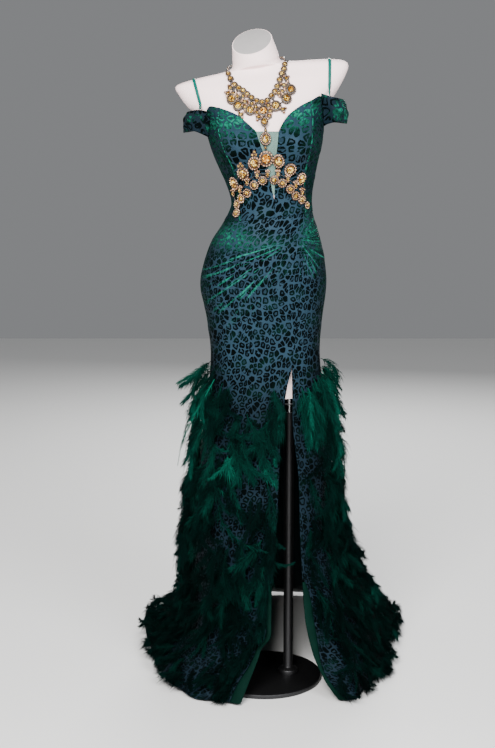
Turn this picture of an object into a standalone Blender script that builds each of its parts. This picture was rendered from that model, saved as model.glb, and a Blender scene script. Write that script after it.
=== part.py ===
"""A long off shoulder gown on its limbless dress form, in metres, +Z up, front towards -Y.

The origin is the centre of the stand's underside. Every cloth piece is a wall of its own, lofted
from the same sections, so that neighbours meet along shared seams with a small gap.
"""

import math
import random
from collections import namedtuple

import bmesh
import bpy
from mathutils import Vector

for old in list(bpy.data.objects):
    bpy.data.objects.remove(old, do_unlink=True)

PARTS = bpy.data.collections.new("satin_gown_on_form")
CUTTERS = bpy.data.collections.new("cutters")
for collection in (PARTS, CUTTERS):
    bpy.context.scene.collection.children.link(collection)

# Driving sizes
WALL = 0.0020            # thickness of the gown's cloth
CLEAR = 0.0035           # air between the form and the cloth
SEAM = 0.0003            # gap where two cut pieces meet
TRIM_CLEAR = 0.0007      # air between the cloth and what is sewn on it
TAPE = 0.0012            # thickness of a feather tape
WAIST = 1.210            # level of the waist seam
SIDE_TOP = 1.400         # level of the bodice's top at the side seams
BACK_TOP = 1.385         # level of the bodice's top at the centre back
HEM = 0.006              # level of the hem, just clear of the floor
FORM_BOTTOM = 0.760      # level where the form's thighs are cut
SLIT_TOP = 0.852         # level where the front seam opens
BUST_X = 0.080           # a cup's centre from the middle of the chest
BUST_LEVEL = 1.392
BUST_PROUD = 0.052
BUST_WIDE = 0.052
BUST_HIGH = 0.056
FORM_BUST = 0.90         # the form's own bust, as a share of the cups'
FLUTES_HIGH = 0.25       # level where the hem's flutes begin
POLE_X = 0.063           # the pole stands under the form's right thigh
POLE_RADIUS = 0.0125
BASE_RADIUS = 0.150
BASE_HIGH = 0.012
FORM_STEP = 0.040        # the form's rings are about this far apart
FORM_SIDES = 24

Section = namedtuple("Section", "level cx cy half front back square slope_x slope_y")

# The form above the hips: centre, half width, depth to front and back, squareness, and the
# slopes of the section's plane to the side and to the back.
BODY = [Section(*row) for row in (
    # level   cx      cy     half    front   back  square slope_x slope_y
    (1.040, -0.004, 0.020, 0.1530, 0.1130, 0.125, 2.20, 0.00, 0.00),
    (1.100, -0.002, 0.018, 0.1450, 0.1120, 0.115, 2.20, 0.03, 0.00),
    (1.160, 0.000, 0.014, 0.1272, 0.1030, 0.095, 2.15, 0.08, 0.00),
    (1.210, 0.008, 0.011, 0.1040, 0.0910, 0.079, 2.10, 0.11, 0.00),
    (1.250, 0.016, 0.010, 0.0935, 0.0850, 0.073, 2.10, 0.09, 0.00),
    (1.300, 0.012, 0.010, 0.1040, 0.0870, 0.079, 2.10, 0.05, 0.00),
    (1.340, 0.006, 0.012, 0.1170, 0.0910, 0.088, 2.15, 0.03, 0.00),
    (1.380, 0.003, 0.015, 0.1300, 0.0950, 0.095, 2.20, 0.03, 0.00),
    (1.420, 0.000, 0.018, 0.1390, 0.0930, 0.098, 2.20, 0.05, 0.00),
    (1.460, -0.002, 0.022, 0.1520, 0.0860, 0.098, 2.25, 0.08, 0.00),
    (1.490, -0.006, 0.025, 0.1790, 0.0780, 0.094, 2.30, 0.11, 0.00),
    (1.532, -0.008, 0.028, 0.2060, 0.0660, 0.085, 2.30, 0.12, 0.00),
    (1.554, -0.009, 0.030, 0.2118, 0.0550, 0.073, 2.30, 0.13, 0.00),
    (1.564, -0.008, 0.030, 0.1925, 0.0515, 0.067, 2.20, 0.14, 0.00),
    (1.570, -0.011, 0.030, 0.1505, 0.0500, 0.062, 2.15, 0.15, 0.00),
    (1.573, -0.017, 0.028, 0.1020, 0.0505, 0.059, 2.10, 0.16, 0.03),
    (1.576, -0.019, 0.024, 0.0760, 0.0515, 0.056, 2.05, 0.16, 0.07),
    (1.580, -0.022, 0.020, 0.0605, 0.0520, 0.054, 2.00, 0.16, 0.12),
    (1.600, -0.025, 0.014, 0.0560, 0.0505, 0.050, 2.00, 0.12, 0.33),
    (1.633, -0.033, 0.008, 0.0485, 0.0480, 0.048, 2.00, 0.20, 0.68),
)]

# The form's thighs, down to the cut
THIGHS = [Section(*row) for row in (
    (FORM_BOTTOM, 0.000, 0.016, 0.1130, 0.0880, 0.092, 2.20, 0.00, 0.00),
    (0.860, 0.000, 0.018, 0.1230, 0.0920, 0.100, 2.20, 0.00, 0.00),
    (0.960, -0.002, 0.020, 0.1390, 0.1020, 0.114, 2.20, 0.00, 0.00),
)]

# The skirt's inner face below the hips, down to the hem that spreads on the floor
SKIRT = [Section(*row) for row in (
    # level   cx      cy     half    front   back  square slope_x slope_y
    (HEM, 0.018, 0.350, 0.3560, 0.5150, 0.280, 2.30, 0.00, 0.00),
    (0.050, 0.030, 0.300, 0.3180, 0.4550, 0.250, 2.30, 0.00, 0.00),
    (0.110, 0.043, 0.240, 0.2730, 0.3820, 0.235, 2.25, 0.00, 0.00),
    (0.170, 0.035, 0.200, 0.2430, 0.3320, 0.220, 2.20, 0.00, 0.00),
    (0.220, 0.028, 0.180, 0.2220, 0.3020, 0.205, 2.20, 0.00, 0.00),
    (0.300, 0.012, 0.140, 0.2040, 0.2520, 0.190, 2.20, 0.00, 0.00),
    (0.390, 0.001, 0.110, 0.1880, 0.2130, 0.175, 2.20, 0.00, 0.00),
    (0.480, -0.002, 0.085, 0.1770, 0.1820, 0.155, 2.20, 0.00, 0.00),
    (0.570, 0.003, 0.060, 0.1700, 0.1520, 0.145, 2.20, 0.00, 0.00),
    (0.640, 0.003, 0.045, 0.1620, 0.1350, 0.135, 2.20, 0.00, 0.00),
    (0.720, 0.002, 0.034, 0.1500, 0.1210, 0.127, 2.20, 0.00, 0.00),
    (0.800, 0.002, 0.026, 0.1410, 0.1090, 0.119, 2.20, 0.00, 0.00),
    (0.870, 0.001, 0.022, 0.1365, 0.1020, 0.113, 2.20, 0.00, 0.00),
    (0.950, -0.001, 0.020, 0.1430, 0.1070, 0.119, 2.20, 0.00, 0.00),
)]

FORM = THIGHS + BODY
GOWN = SKIRT + [s._replace(half=s.half + CLEAR, front=s.front + CLEAR, back=s.back + CLEAR)
                for s in BODY]

# Folds that run from the gather on the left hip, on the front: start and end in x and z
Fold = namedtuple("Fold", "x0 z0 x1 z1 height width")
FOLDS = [Fold(*row) for row in (
    # x0     z0      x1      z1    height width
    (0.082, 1.148, -0.130, 1.104, 0.0055, 0.0100),
    (0.080, 1.140, -0.140, 1.030, 0.0060, 0.0115),
    (0.080, 1.132, -0.122, 0.940, 0.0065, 0.0125),
    (0.078, 1.160, -0.075, 1.150, 0.0045, 0.0095),
    (0.084, 1.122, -0.020, 0.930, 0.0040, 0.0120),
    (0.096, 1.156, 0.114, 1.196, 0.0035, 0.0080),
    (0.100, 1.144, 0.142, 1.112, 0.0045, 0.0085),
    (0.098, 1.134, 0.118, 1.070, 0.0040, 0.0085),
)]

FOLD_END = 14.0          # degrees from the side seam over which the folds die out

# The flutes of the hem on the floor: how far it stands out, or folds in, round the skirt
Flute = namedtuple("Flute", "turn out")
FLUTES = [Flute(*row) for row in (
    (-180, 0.008), (-155, -0.011), (-130, 0.011), (-106, 0.018), (-85, -0.006), (-71, -0.015),
    (-56, -0.006), (-44, 0.014), (-35, 0.024), (-26, 0.044), (-18, 0.026), (-10, 0.034),
    (0, 0.034), (22, 0.034), (27, 0.056), (35, 0.025), (44, 0.008), (52, 0.000), (58, -0.007),
    (64, -0.019), (72, -0.046), (77, -0.024), (82, -0.010), (95, 0.012), (114, 0.028),
    (135, -0.008), (158, 0.008), (180, 0.008),
)]

# The front seam and, below its opening, the slit's two edges, as x at each level
Slit = namedtuple("Slit", "level left right")
SLIT = [Slit(*row) for row in (
    (HEM, -0.056, 0.172),
    (0.050, -0.038, 0.146),
    (0.110, -0.014, 0.121),
    (0.135, -0.006, 0.114),
    (0.160, 0.014, 0.108),
    (0.200, 0.016, 0.101),
    (0.290, 0.018, 0.095),
    (0.430, 0.028, 0.088),
    (0.560, 0.035, 0.084),
    (0.680, 0.039, 0.070),
    (0.780, 0.052, 0.067),
    (SLIT_TOP, 0.067, 0.067),
    (1.000, 0.082, 0.082),
    (1.143, 0.094, 0.094),
    (WAIST, 0.097, 0.097),
)]

# How wide the satin facing shows along each edge of the slit
Facing = namedtuple("Facing", "level left right")
FACING = [Facing(*row) for row in (
    (HEM, 0.026, 0.016),
    (0.050, 0.024, 0.009),
    (0.085, 0.016, 0.008),
    (0.110, 0.012, 0.013),
    (0.150, 0.012, 0.019),
    (0.206, 0.012, 0.021),
    (0.260, 0.010, 0.016),
    (0.300, 0.003, 0.004),
)]

# The bodice's seams and the sweetheart neckline on the front, as x and z
Point = namedtuple("Point", "x z")
PRINCESS_LEFT = [Point(*p) for p in ((-0.062, 1.197), (-0.0715, 1.310), (-0.105, 1.392),
                                     (-0.112, 1.430), (-0.112, 1.474))]
PRINCESS_RIGHT = [Point(*p) for p in ((0.097, 1.217), (0.0935, 1.312), (0.108, 1.392),
                                      (0.111, 1.457), (0.108, 1.491))]
CENTRE_WAIST = Point(0.0225, 1.211)
MESH_POINT = Point(0.0205, 1.2546)
MESH_BOWS = (0.006, -0.002)  # how far the mesh panel's left and right sides curve in
CUP_LEFT = [Point(*p) for p in ((-0.112, 1.474), (-0.071, 1.457), (-0.045, 1.436),
                                (-0.024, 1.417))]
CUP_RIGHT = [Point(*p) for p in ((0.031, 1.417), (0.0385, 1.4325), (0.055, 1.456),
                                 (0.082, 1.477), (0.108, 1.491))]
ARM_LEFT = Point(-0.139, 1.474)
ARM_RIGHT = Point(0.134, 1.500)
BACK_ARM_TURN = 128      # where the back's top is highest, behind the arm
BACK_ARM_LEVEL = 1.436
BODICE_ROWS = 10

# Feather tapes down the skirt, each with plumes: level at the front, how far it rises at the
# sides, the plumes' drop, and how far their tips stand off
Tier = namedtuple("Tier", "level rise drop off")
TIERS = [Tier(*row) for row in (
    (0.790, 0.045, 0.165, 0.040),
    (0.690, 0.035, 0.170, 0.032),
    (0.592, 0.028, 0.170, 0.034),
    (0.494, 0.020, 0.170, 0.034),
    (0.396, 0.012, 0.170, 0.036),
    (0.300, 0.000, 0.165, 0.036),
    (0.206, 0.000, 0.150, 0.034),
)]
TAPE_HIGH = 0.011
BARE_CELLS = 0.14        # the share of a tape's cells that carry no plume
DRAPE_ROWS = 19          # rows of the skirt above the feathers, and their spacing
DRAPE_STEP = 0.0178
FRONT_LEFT_COLUMNS = 11
FRONT_RIGHT_COLUMNS = 7
BACK_COLUMNS = 8


def material(name, colour, roughness, metallic=0.0):
    """One Principled material for each kind of surface."""
    mat = bpy.data.materials.new(name)
    mat.use_nodes = True
    shader = mat.node_tree.nodes["Principled BSDF"]
    shader.inputs["Base Color"].default_value = (*colour, 1.0)
    shader.inputs["Roughness"].default_value = roughness
    shader.inputs["Metallic"].default_value = metallic
    mat.diffuse_color = (*colour, 1.0)
    return mat


VELVET = material("leopard_velvet_satin", (0.02, 0.09, 0.10), 0.45)
SATIN = material("teal_satin", (0.10, 0.42, 0.34), 0.30)
MESH = material("sheer_mesh", (0.45, 0.62, 0.55), 0.60)
FEATHER = material("emerald_feather", (0.01, 0.16, 0.09), 0.65)
STONE = material("amber_stone", (0.85, 0.62, 0.22), 0.15)
FORM_SKIN = material("form_shell", (0.80, 0.74, 0.74), 0.50)
STEEL = material("bright_steel", (0.70, 0.70, 0.70), 0.20, 1.0)


def signed_power(value, power):
    return math.copysign(abs(value) ** power, value)


def ease(rows, level, key=lambda row: row.level):
    """The row at a level, each column on a smooth curve through the rows."""
    if level <= key(rows[0]):
        return rows[0]
    if level >= key(rows[-1]):
        return rows[-1]
    i = next(n for n in range(len(rows) - 1) if key(rows[n + 1]) >= level)
    low, high = rows[i], rows[i + 1]
    before, after = rows[max(i - 1, 0)], rows[min(i + 2, len(rows) - 1)]
    span = key(high) - key(low)
    u = (level - key(low)) / span
    values = []
    for a, b, c, d in zip(before, low, high, after):
        slope_b = (c - a) / max(key(high) - key(before), 1e-9) * span
        slope_c = (d - b) / max(key(after) - key(low), 1e-9) * span
        values.append(b * (2 * u ** 3 - 3 * u ** 2 + 1) + slope_b * (u ** 3 - 2 * u ** 2 + u)
                      + c * (3 * u ** 2 - 2 * u ** 3) + slope_c * (u ** 3 - u ** 2))
    return type(low)(*values)


def ring_point(section, turn):
    """A point of one section. turn runs from 0 at the front to 90 at +X and 180 at the back."""
    side = math.sin(math.radians(turn))
    ahead = math.cos(math.radians(turn))
    power = 2 / section.square
    x = section.half * signed_power(side, power)
    depth = section.front if ahead > 0 else section.back
    y = -depth * signed_power(ahead, power)
    z = section.level + section.slope_x * x + section.slope_y * y
    return Vector((section.cx + x, section.cy + y, z))


def bust(point, turn):
    """How far the two cups stand forward of the chest."""
    ahead = max(math.cos(math.radians(turn)), 0.0) ** 0.5
    total = 0.0
    for x in (-BUST_X, BUST_X):
        total += math.exp(-((point.x - x) / BUST_WIDE) ** 2
                          - ((point.z - BUST_LEVEL) / BUST_HIGH) ** 2)
    return BUST_PROUD * total * ahead


def drape(point, turn):
    """Height of the folds that fan out from the gather."""
    fade_out = min(1.0, (90 - abs(turn)) / FOLD_END)
    if fade_out <= 0:
        return 0.0
    total = 0.0
    for fold in FOLDS:
        run = Vector((fold.x1 - fold.x0, fold.z1 - fold.z0))
        arm = Vector((point.x - fold.x0, point.z - fold.z0))
        along = arm.dot(run) / run.length_squared
        if not -0.15 < along < 1.15:
            continue
        across = arm.x * run.y - arm.y * run.x
        far = across / run.length / (fold.width * (0.7 + 0.6 * min(max(along, 0), 1)))
        fade = math.sin(math.pi * min(max((along + 0.15) / 1.3, 0), 1)) ** 0.5
        total += fold.height * math.exp(-far * far) * fade
    return total * fade_out


def flute(level, turn):
    """How far the flutes that open towards the hem stand out."""
    reach = max(0.0, 1 - level / FLUTES_HIGH)
    return reach ** 1.5 * ease(FLUTES, turn, key=lambda row: row.turn).out


def form_point(turn, level):
    point = ring_point(ease(FORM, level), turn)
    point.y -= bust(point, turn) * FORM_BUST
    return point


def gown_point(turn, level):
    """A point of the gown's inner face."""
    point = ring_point(ease(GOWN, level), turn)
    proud = bust(point, turn)
    out = Vector((math.sin(math.radians(turn)), -math.cos(math.radians(turn)), 0))
    point += out * (drape(point, turn) + flute(level, turn))
    point.y -= proud
    return point


def moved_out(surface, turn, level, out):
    """The surface's point, moved out along its normal."""
    step_turn, step_level = 0.4, 0.002
    low = max(level - step_level, HEM)
    up = surface(turn, level + step_level) - surface(turn, low)
    round_it = surface(turn + step_turn, level) - surface(turn - step_turn, level)
    normal = round_it.cross(up).normalized()
    return surface(turn, level) + normal * out


def turn_of(x, section, behind=False):
    """The turn at which a section passes x."""
    share = max(-1.0, min(1.0, (x - section.cx) / section.half))
    turn = math.degrees(math.asin(signed_power(share, section.square / 2)))
    if behind:
        turn = math.copysign(180, turn) - turn
    return turn


def on_front(point, rows=None):
    """Turn and level of the gown's front where it passes x and z."""
    level = point.z
    for _ in range(8):
        section = ease(rows or GOWN, level)
        turn = turn_of(point.x, section)
        level += point.z - ring_point(section, turn).z
    return turn, level


def along(points, share):
    """A point at a share of a run of x, z points, on a smooth curve."""
    lengths = [0.0]
    for a, b in zip(points, points[1:]):
        lengths.append(lengths[-1] + math.dist(a, b))
    Stop = namedtuple("Stop", "at x z")
    stops = [Stop(at / lengths[-1], p.x, p.z) for at, p in zip(lengths, points)]
    found = ease(stops, share, key=lambda stop: stop.at)
    return Point(found.x, found.z)


def finish(name, mesh_data, mat, smooth=True):
    """Puts a bmesh in the scene as one named object with its faces pointing out."""
    bmesh.ops.recalc_face_normals(mesh_data, faces=mesh_data.faces)
    mesh = bpy.data.meshes.new(name)
    mesh_data.to_mesh(mesh)
    mesh_data.free()
    mesh.materials.append(mat)
    if smooth:
        mesh.shade_smooth()
        mesh.set_sharp_from_angle(angle=math.radians(40))
    made = bpy.data.objects.new(name, mesh)
    PARTS.objects.link(made)
    return made


def shrink_edges(grid, gap, sides="lrtb"):
    """Moves the grid's outer rows and columns in, so that neighbours stay apart."""
    def nudge(a, b):
        return a + (b - a).normalized() * gap
    rows, columns = len(grid), len(grid[0])
    if "b" in sides:
        grid[0] = [nudge(grid[0][j], grid[1][j]) for j in range(columns)]
    if "t" in sides:
        grid[-1] = [nudge(grid[-1][j], grid[-2][j]) for j in range(columns)]
    for i in range(rows):
        if "l" in sides:
            grid[i][0] = nudge(grid[i][0], grid[i][1])
        if "r" in sides:
            grid[i][-1] = nudge(grid[i][-1], grid[i][-2])
    return grid


def wall(name, inner, outer, mat, ring=False):
    """A closed wall between two grids of the same size. ring joins last column to first."""
    data = bmesh.new()
    skins = [[[data.verts.new(p) for p in row] for row in grid] for grid in (inner, outer)]
    rows, columns = len(inner), len(inner[0])
    last = columns if ring else columns - 1

    def quad(a, b, c, d):
        data.faces.new((a, b, c))
        data.faces.new((a, c, d))

    for skin in skins:
        for i in range(rows - 1):
            for j in range(last):
                k = (j + 1) % columns
                quad(skin[i][j], skin[i][k], skin[i + 1][k], skin[i + 1][j])
    low, high = skins
    for j in range(last):
        k = (j + 1) % columns
        quad(low[0][j], low[0][k], high[0][k], high[0][j])
        quad(low[-1][j], high[-1][j], high[-1][k], low[-1][k])
    if not ring:
        for i in range(rows - 1):
            quad(low[i][0], high[i][0], high[i + 1][0], low[i + 1][0])
            quad(low[i][-1], low[i + 1][-1], high[i + 1][-1], high[i][-1])
    return finish(name, data, mat)


def cloth(name, places, mat, thick=WALL, sides="lrtb", lift=0.0):
    """A panel from rows of turn and level places on the gown."""
    skins = []
    for out in (lift, lift + thick):
        grid = [[moved_out(gown_point, turn, level, out) for turn, level in row]
                for row in places]
        skins.append(shrink_edges(grid, SEAM / 2, sides))
    return wall(name, *skins, mat)


def patch(left, right, bottom, top, columns, rows):
    """Places of a panel between four edges, each a function of a share from 0 to 1."""
    def blend(a, b, share):
        return tuple(p + (q - p) * share for p, q in zip(a, b))
    places = []
    for i in range(rows + 1):
        v = i / rows
        row = []
        for j in range(columns + 1):
            u = j / columns
            across = blend(left(v), right(v), u)
            upward = blend(bottom(u), top(u), v)
            flat = blend(blend(bottom(0), bottom(1), u), blend(top(0), top(1), u), v)
            row.append(tuple(a + b - c for a, b, c in zip(across, upward, flat)))
        places.append(row)
    return places


def side_edge(turn, top=SIDE_TOP):
    return lambda v: (turn, WAIST + (top - WAIST) * v)


def back_top(a, arm, b):
    """The top of a back, highest behind the arm."""
    Stop = namedtuple("Stop", "turn level")
    levels = {90: SIDE_TOP, 180: BACK_TOP}
    stops = [Stop(a, levels[abs(a)]), Stop(arm, BACK_ARM_LEVEL), Stop(b, levels[abs(b)])]

    def edge(u):
        turn = a + (b - a) * u
        return turn, ease(stops, turn, key=lambda stop: stop.turn).level
    return edge


def seam_edge(points):
    """A seam of the bodice that ends on the waist's level."""
    first = on_front(points[0])[0]

    def edge(v):
        if v == 0:
            return first, WAIST
        turn, level = on_front(along(points, v))
        return turn, level
    return edge


def centre_edge(top, bow):
    """The centre seam up to the mesh panel's point, and then the panel's curved side."""
    break_at = 1 / BODICE_ROWS

    def edge(v):
        if v == 0:
            return on_front(CENTRE_WAIST)[0], WAIST
        if v <= break_at:
            return on_front(MESH_POINT)
        share = (v - break_at) / (1 - break_at)
        curved = bow * math.sin(math.pi * share) ** 2
        mid = Point(MESH_POINT.x + (top.x - MESH_POINT.x) * share + curved,
                    MESH_POINT.z + (top.z - MESH_POINT.z) * share)
        return on_front(mid)
    return edge


def waist_edge(a, b):
    return lambda u: (a + (b - a) * u, WAIST)


def curve_edge(points):
    return lambda u: on_front(along(points, u))


def bodice():
    """Two cups at the front, two side fronts, two backs and the mesh panel."""
    left_seam, right_seam = seam_edge(PRINCESS_LEFT), seam_edge(PRINCESS_RIGHT)
    left_centre = centre_edge(CUP_LEFT[-1], MESH_BOWS[0])
    right_centre = centre_edge(CUP_RIGHT[0], MESH_BOWS[1])
    panels = (
        ("bodice_front_left", left_seam, left_centre, curve_edge(CUP_LEFT), 5),
        ("bodice_front_right", right_centre, right_seam, curve_edge(CUP_RIGHT), 5),
        ("bodice_side_front_left", side_edge(-90), left_seam,
         armhole((-90, SIDE_TOP), ARM_LEFT, CUP_LEFT[0]), 4),
        ("bodice_side_front_right", right_seam, side_edge(90),
         armhole(CUP_RIGHT[-1], ARM_RIGHT, (90, SIDE_TOP)), 4),
        ("bodice_back_left", side_edge(-180, BACK_TOP), side_edge(-90),
         back_top(-180, -BACK_ARM_TURN, -90), 6),
        ("bodice_back_right", side_edge(90), side_edge(180, BACK_TOP),
         back_top(90, BACK_ARM_TURN, 180), 6),
    )
    for name, left, right, top, columns in panels:
        bottom = waist_edge(left(0)[0], right(0)[0])
        cloth(name, patch(left, right, bottom, top, columns, BODICE_ROWS), VELVET)

    places = []
    for i in range(1, BODICE_ROWS + 1):
        v = i / BODICE_ROWS
        a, b = left_centre(v), right_centre(v)
        places.append([tuple(p + (q - p) * j / 4 for p, q in zip(a, b)) for j in range(5)])
    width = 0.45
    middle = places[0][2]
    places[0] = [(middle[0] + (j / 2 - 1) * width, middle[1] + 0.012) for j in range(5)]
    cloth("bodice_mesh_panel", places, MESH)


def armhole(a, corner, b):
    """The top of a side front: from the side seam up to the arm corner, then to the cup."""
    def place(p):
        return on_front(p) if isinstance(p, Point) else p
    start, middle, end = place(a), place(corner), place(b)
    shares = (0.0, 0.72, 1.0) if isinstance(b, Point) else (0.0, 0.28, 1.0)
    Stop = namedtuple("Stop", "at turn level")
    stops = [Stop(s, *p) for s, p in zip(shares, (start, middle, end))]

    def edge(u):
        found = ease(stops, u, key=lambda stop: stop.at)
        return found.turn, found.level
    return edge


def skirt_levels(stride=1):
    """The skirt's rows, top to bottom: level at the front and its rise at the sides."""
    rows = [(WAIST - DRAPE_STEP * i, 0.0) for i in range(0, DRAPE_ROWS, stride)]
    rows.append((0.850, 0.020))
    for tier in TIERS:
        rows += [(tier.level, tier.rise), (tier.level - TAPE_HIGH, tier.rise)]
    rows += [(level, 0.0) for level in (0.150, 0.105, 0.066, 0.034, 0.014, HEM)]
    return rows


def slit_turn(level, side, inset=0.0):
    """Turn of the front seam, or of a slit's edge moved into its panel by inset."""
    edges = ease(SLIT, level)
    if level >= SLIT_TOP:
        x = (edges.left + edges.right) / 2
    else:
        x = edges.left - inset if side == "left" else edges.right + inset
    return turn_of(x, ease(GOWN, level))


def skirt_places(levels, left, right, columns):
    """Rows of places from hem to waist between two edges, given as turns at a level."""
    places = []
    for level, rise in reversed(levels):
        row = []
        for j in range(columns + 1):
            turn = left(level) + (right(level) - left(level)) * j / columns
            row.append((turn, level + rise * math.sin(math.radians(turn)) ** 2))
        places.append(row)
    return places


def skirt_panels():
    """Places of the four skirt panels, as name and rows."""
    levels = skirt_levels()
    plain = skirt_levels(stride=2)
    return {
        "skirt_front_left": skirt_places(
            levels, lambda level: -90.0,
            lambda level: slit_turn(level, "left", facing_width(level, "left")),
            FRONT_LEFT_COLUMNS),
        "skirt_front_right": skirt_places(
            levels, lambda level: slit_turn(level, "right", facing_width(level, "right")),
            lambda level: 90.0, FRONT_RIGHT_COLUMNS),
        "skirt_back_left": skirt_places(plain, lambda level: -180.0, lambda level: -90.0,
                                        BACK_COLUMNS),
        "skirt_back_right": skirt_places(plain, lambda level: 90.0, lambda level: 180.0,
                                         BACK_COLUMNS),
    }


def facing_width(level, side):
    """How much of the satin facing shows along a slit's edge."""
    if level > FACING[-1].level:
        return 0.0
    return getattr(ease(FACING, level), side)


def facings():
    """The satin facings that turn out along the lower half of the slit."""
    levels = [level for level, _ in reversed(skirt_levels()) if level <= FACING[-1].level]
    for side in ("left", "right"):
        places = []
        for level in levels:
            edge = slit_turn(level, side)
            seam = slit_turn(level, side, facing_width(level, side))
            places.append([(seam, level), (edge, level)] if side == "left"
                          else [(edge, level), (seam, level)])
        cloth(f"slit_facing_{side}", places, SATIN)


def feather_tier(name, tier, top_row, bottom_row, seed):
    """A tape on the skirt with a plume from the underside of each of its cells."""
    rng = random.Random(seed)
    data = bmesh.new()
    lifts = (WALL + TRIM_CLEAR, WALL + TRIM_CLEAR + TAPE)
    corners = []
    for row in (top_row, bottom_row):
        skins = []
        for out in lifts:
            line = [moved_out(gown_point, turn, level, out) for turn, level in row]
            line[0] += (line[1] - line[0]).normalized() * SEAM
            line[-1] += (line[-2] - line[-1]).normalized() * SEAM
            skins.append([data.verts.new(p) for p in line])
        corners.append(skins)
    (top_in, top_out), (low_in, low_out) = corners
    cells = len(top_row) - 1
    for j in range(cells):
        k = j + 1
        for a, b, c, d in ((top_in[j], top_in[k], low_in[k], low_in[j]),
                           (top_out[j], low_out[j], low_out[k], top_out[k]),
                           (top_in[j], top_out[j], top_out[k], top_in[k])):
            data.faces.new((a, b, c))
            data.faces.new((a, c, d))
    for end in (0, cells):
        a, b, c, d = top_in[end], top_out[end], low_out[end], low_in[end]
        data.faces.new((a, b, c))
        data.faces.new((a, c, d))
    for j in range(cells):
        root = (low_in[j], low_in[j + 1], low_out[j + 1], low_out[j])
        if rng.random() < BARE_CELLS:
            data.faces.new(root[:3])
            data.faces.new((root[0], root[2], root[3]))
            continue
        turn_a, level_a = bottom_row[j]
        turn_b, level_b = bottom_row[j + 1]
        drop = tier.drop * rng.uniform(0.86, 1.08)
        sway = rng.uniform(-0.10, 0.10)
        # share of the drop, width as a share of the cell, stand off, thickness
        for share, width, off, thick in ((0.38, 0.78, 0.30, 0.0030), (0.78, 0.62, 0.64, 0.0026)):
            level = (level_a + level_b) / 2 - drop * share
            middle = (turn_a + turn_b) / 2 + (turn_b - turn_a) * sway * share
            reach = (turn_b - turn_a) * width / 2
            base = WALL + TRIM_CLEAR + tier.off * off
            ring = [moved_out(gown_point, middle + side * reach, level, out)
                    for side, out in ((-1, base), (1, base), (1, base + thick),
                                      (-1, base + thick))]
            ring = [data.verts.new(p) for p in ring]
            for n in range(4):
                m = (n + 1) % 4
                data.faces.new((root[n], root[m], ring[m]))
                data.faces.new((root[n], ring[m], ring[n]))
            root = ring
        middle = (turn_a + turn_b) / 2 + (turn_b - turn_a) * sway
        level = max((level_a + level_b) / 2 - drop, HEM + 0.012)
        tip = data.verts.new(moved_out(gown_point, middle, level, WALL + TRIM_CLEAR + tier.off))
        for n in range(4):
            data.faces.new((root[n], root[(n + 1) % 4], tip))
    finish(name, data, FEATHER, smooth=False)


def feathers(panels):
    """Each tier has a left and a right tape, from the slit's edge to the centre back."""
    low_rows = 6
    for number, tier in enumerate(TIERS):
        index = low_rows + 2 * (len(TIERS) - 1 - number)
        for side, parts in (("left", ("skirt_back_left", "skirt_front_left")),
                            ("right", ("skirt_front_right", "skirt_back_right"))):
            rows = []
            for row in (index + 1, index):
                first, second = (panels[part][row] for part in parts)
                rows.append(first + second[1:])
            feather_tier(f"feathers_{side}_{number + 1}", tier, *rows,
                         seed=10 * number + len(side))


def grid_walls(name, grid, thick, mat):
    """A free wall on a grid of points, thickened along the grid's own normals."""
    rows, columns = len(grid), len(grid[0])
    outer = []
    for i in range(rows):
        line = []
        for j in range(columns):
            across = grid[i][min(j + 1, columns - 1)] - grid[i][max(j - 1, 0)]
            up = grid[min(i + 1, rows - 1)][j] - grid[max(i - 1, 0)][j]
            line.append(grid[i][j] + across.cross(up).normalized() * thick)
        outer.append(line)
    return wall(name, grid, outer, mat)


def smooth_run(points, count):
    """Evenly counted points on a smooth curve through a few."""
    Stop = namedtuple("Stop", "at x y z")
    lengths = [0.0]
    for a, b in zip(points, points[1:]):
        lengths.append(lengths[-1] + (Vector(b) - Vector(a)).length)
    stops = [Stop(at / lengths[-1], *p) for at, p in zip(lengths, points)]
    found = [ease(stops, n / (count - 1), key=lambda stop: stop.at) for n in range(count)]
    return [Vector((f.x, f.y, f.z)) for f in found]


# The sleeve band on the picture's left, as its top and bottom edges from front to back
BAND_TOP = ((-0.164, -0.050, 1.469), (-0.189, -0.012, 1.464), (-0.187, 0.046, 1.462),
            (-0.163, 0.088, 1.456))
BAND_LOW = ((-0.174, -0.036, 1.419), (-0.198, 0.002, 1.415), (-0.194, 0.048, 1.416),
            (-0.167, 0.084, 1.418))
BAND_ENDS = ((-46, 1.4780), (-74, 1.4120), (-127, 1.4320), (-112, 1.4050))
BAND_CLEAR = 0.0030      # air between the bodice and the band's sewn ends
BAND_RIGHT_RISE = 0.030
BAND_RIGHT_DEEP = 0.008  # how much deeper the right band hangs
BAND_COLUMNS = 12

# The straps: width, thickness, x where they cross the shoulder, and the levels of their points
STRAP_WIDE = 0.0075
STRAP_THICK = 0.0015
STRAP_CLEAR = 0.0013
STRAP_FOOT_GAP = 0.0009  # a strap's end stands this far over the band's edge
STRAP_X = {"left": (-0.158, -0.176), "right": (0.154, 0.156)}
STRAP_FOOT = 1.500       # level where a strap meets the form
STRAP_STEPS = 5


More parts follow.
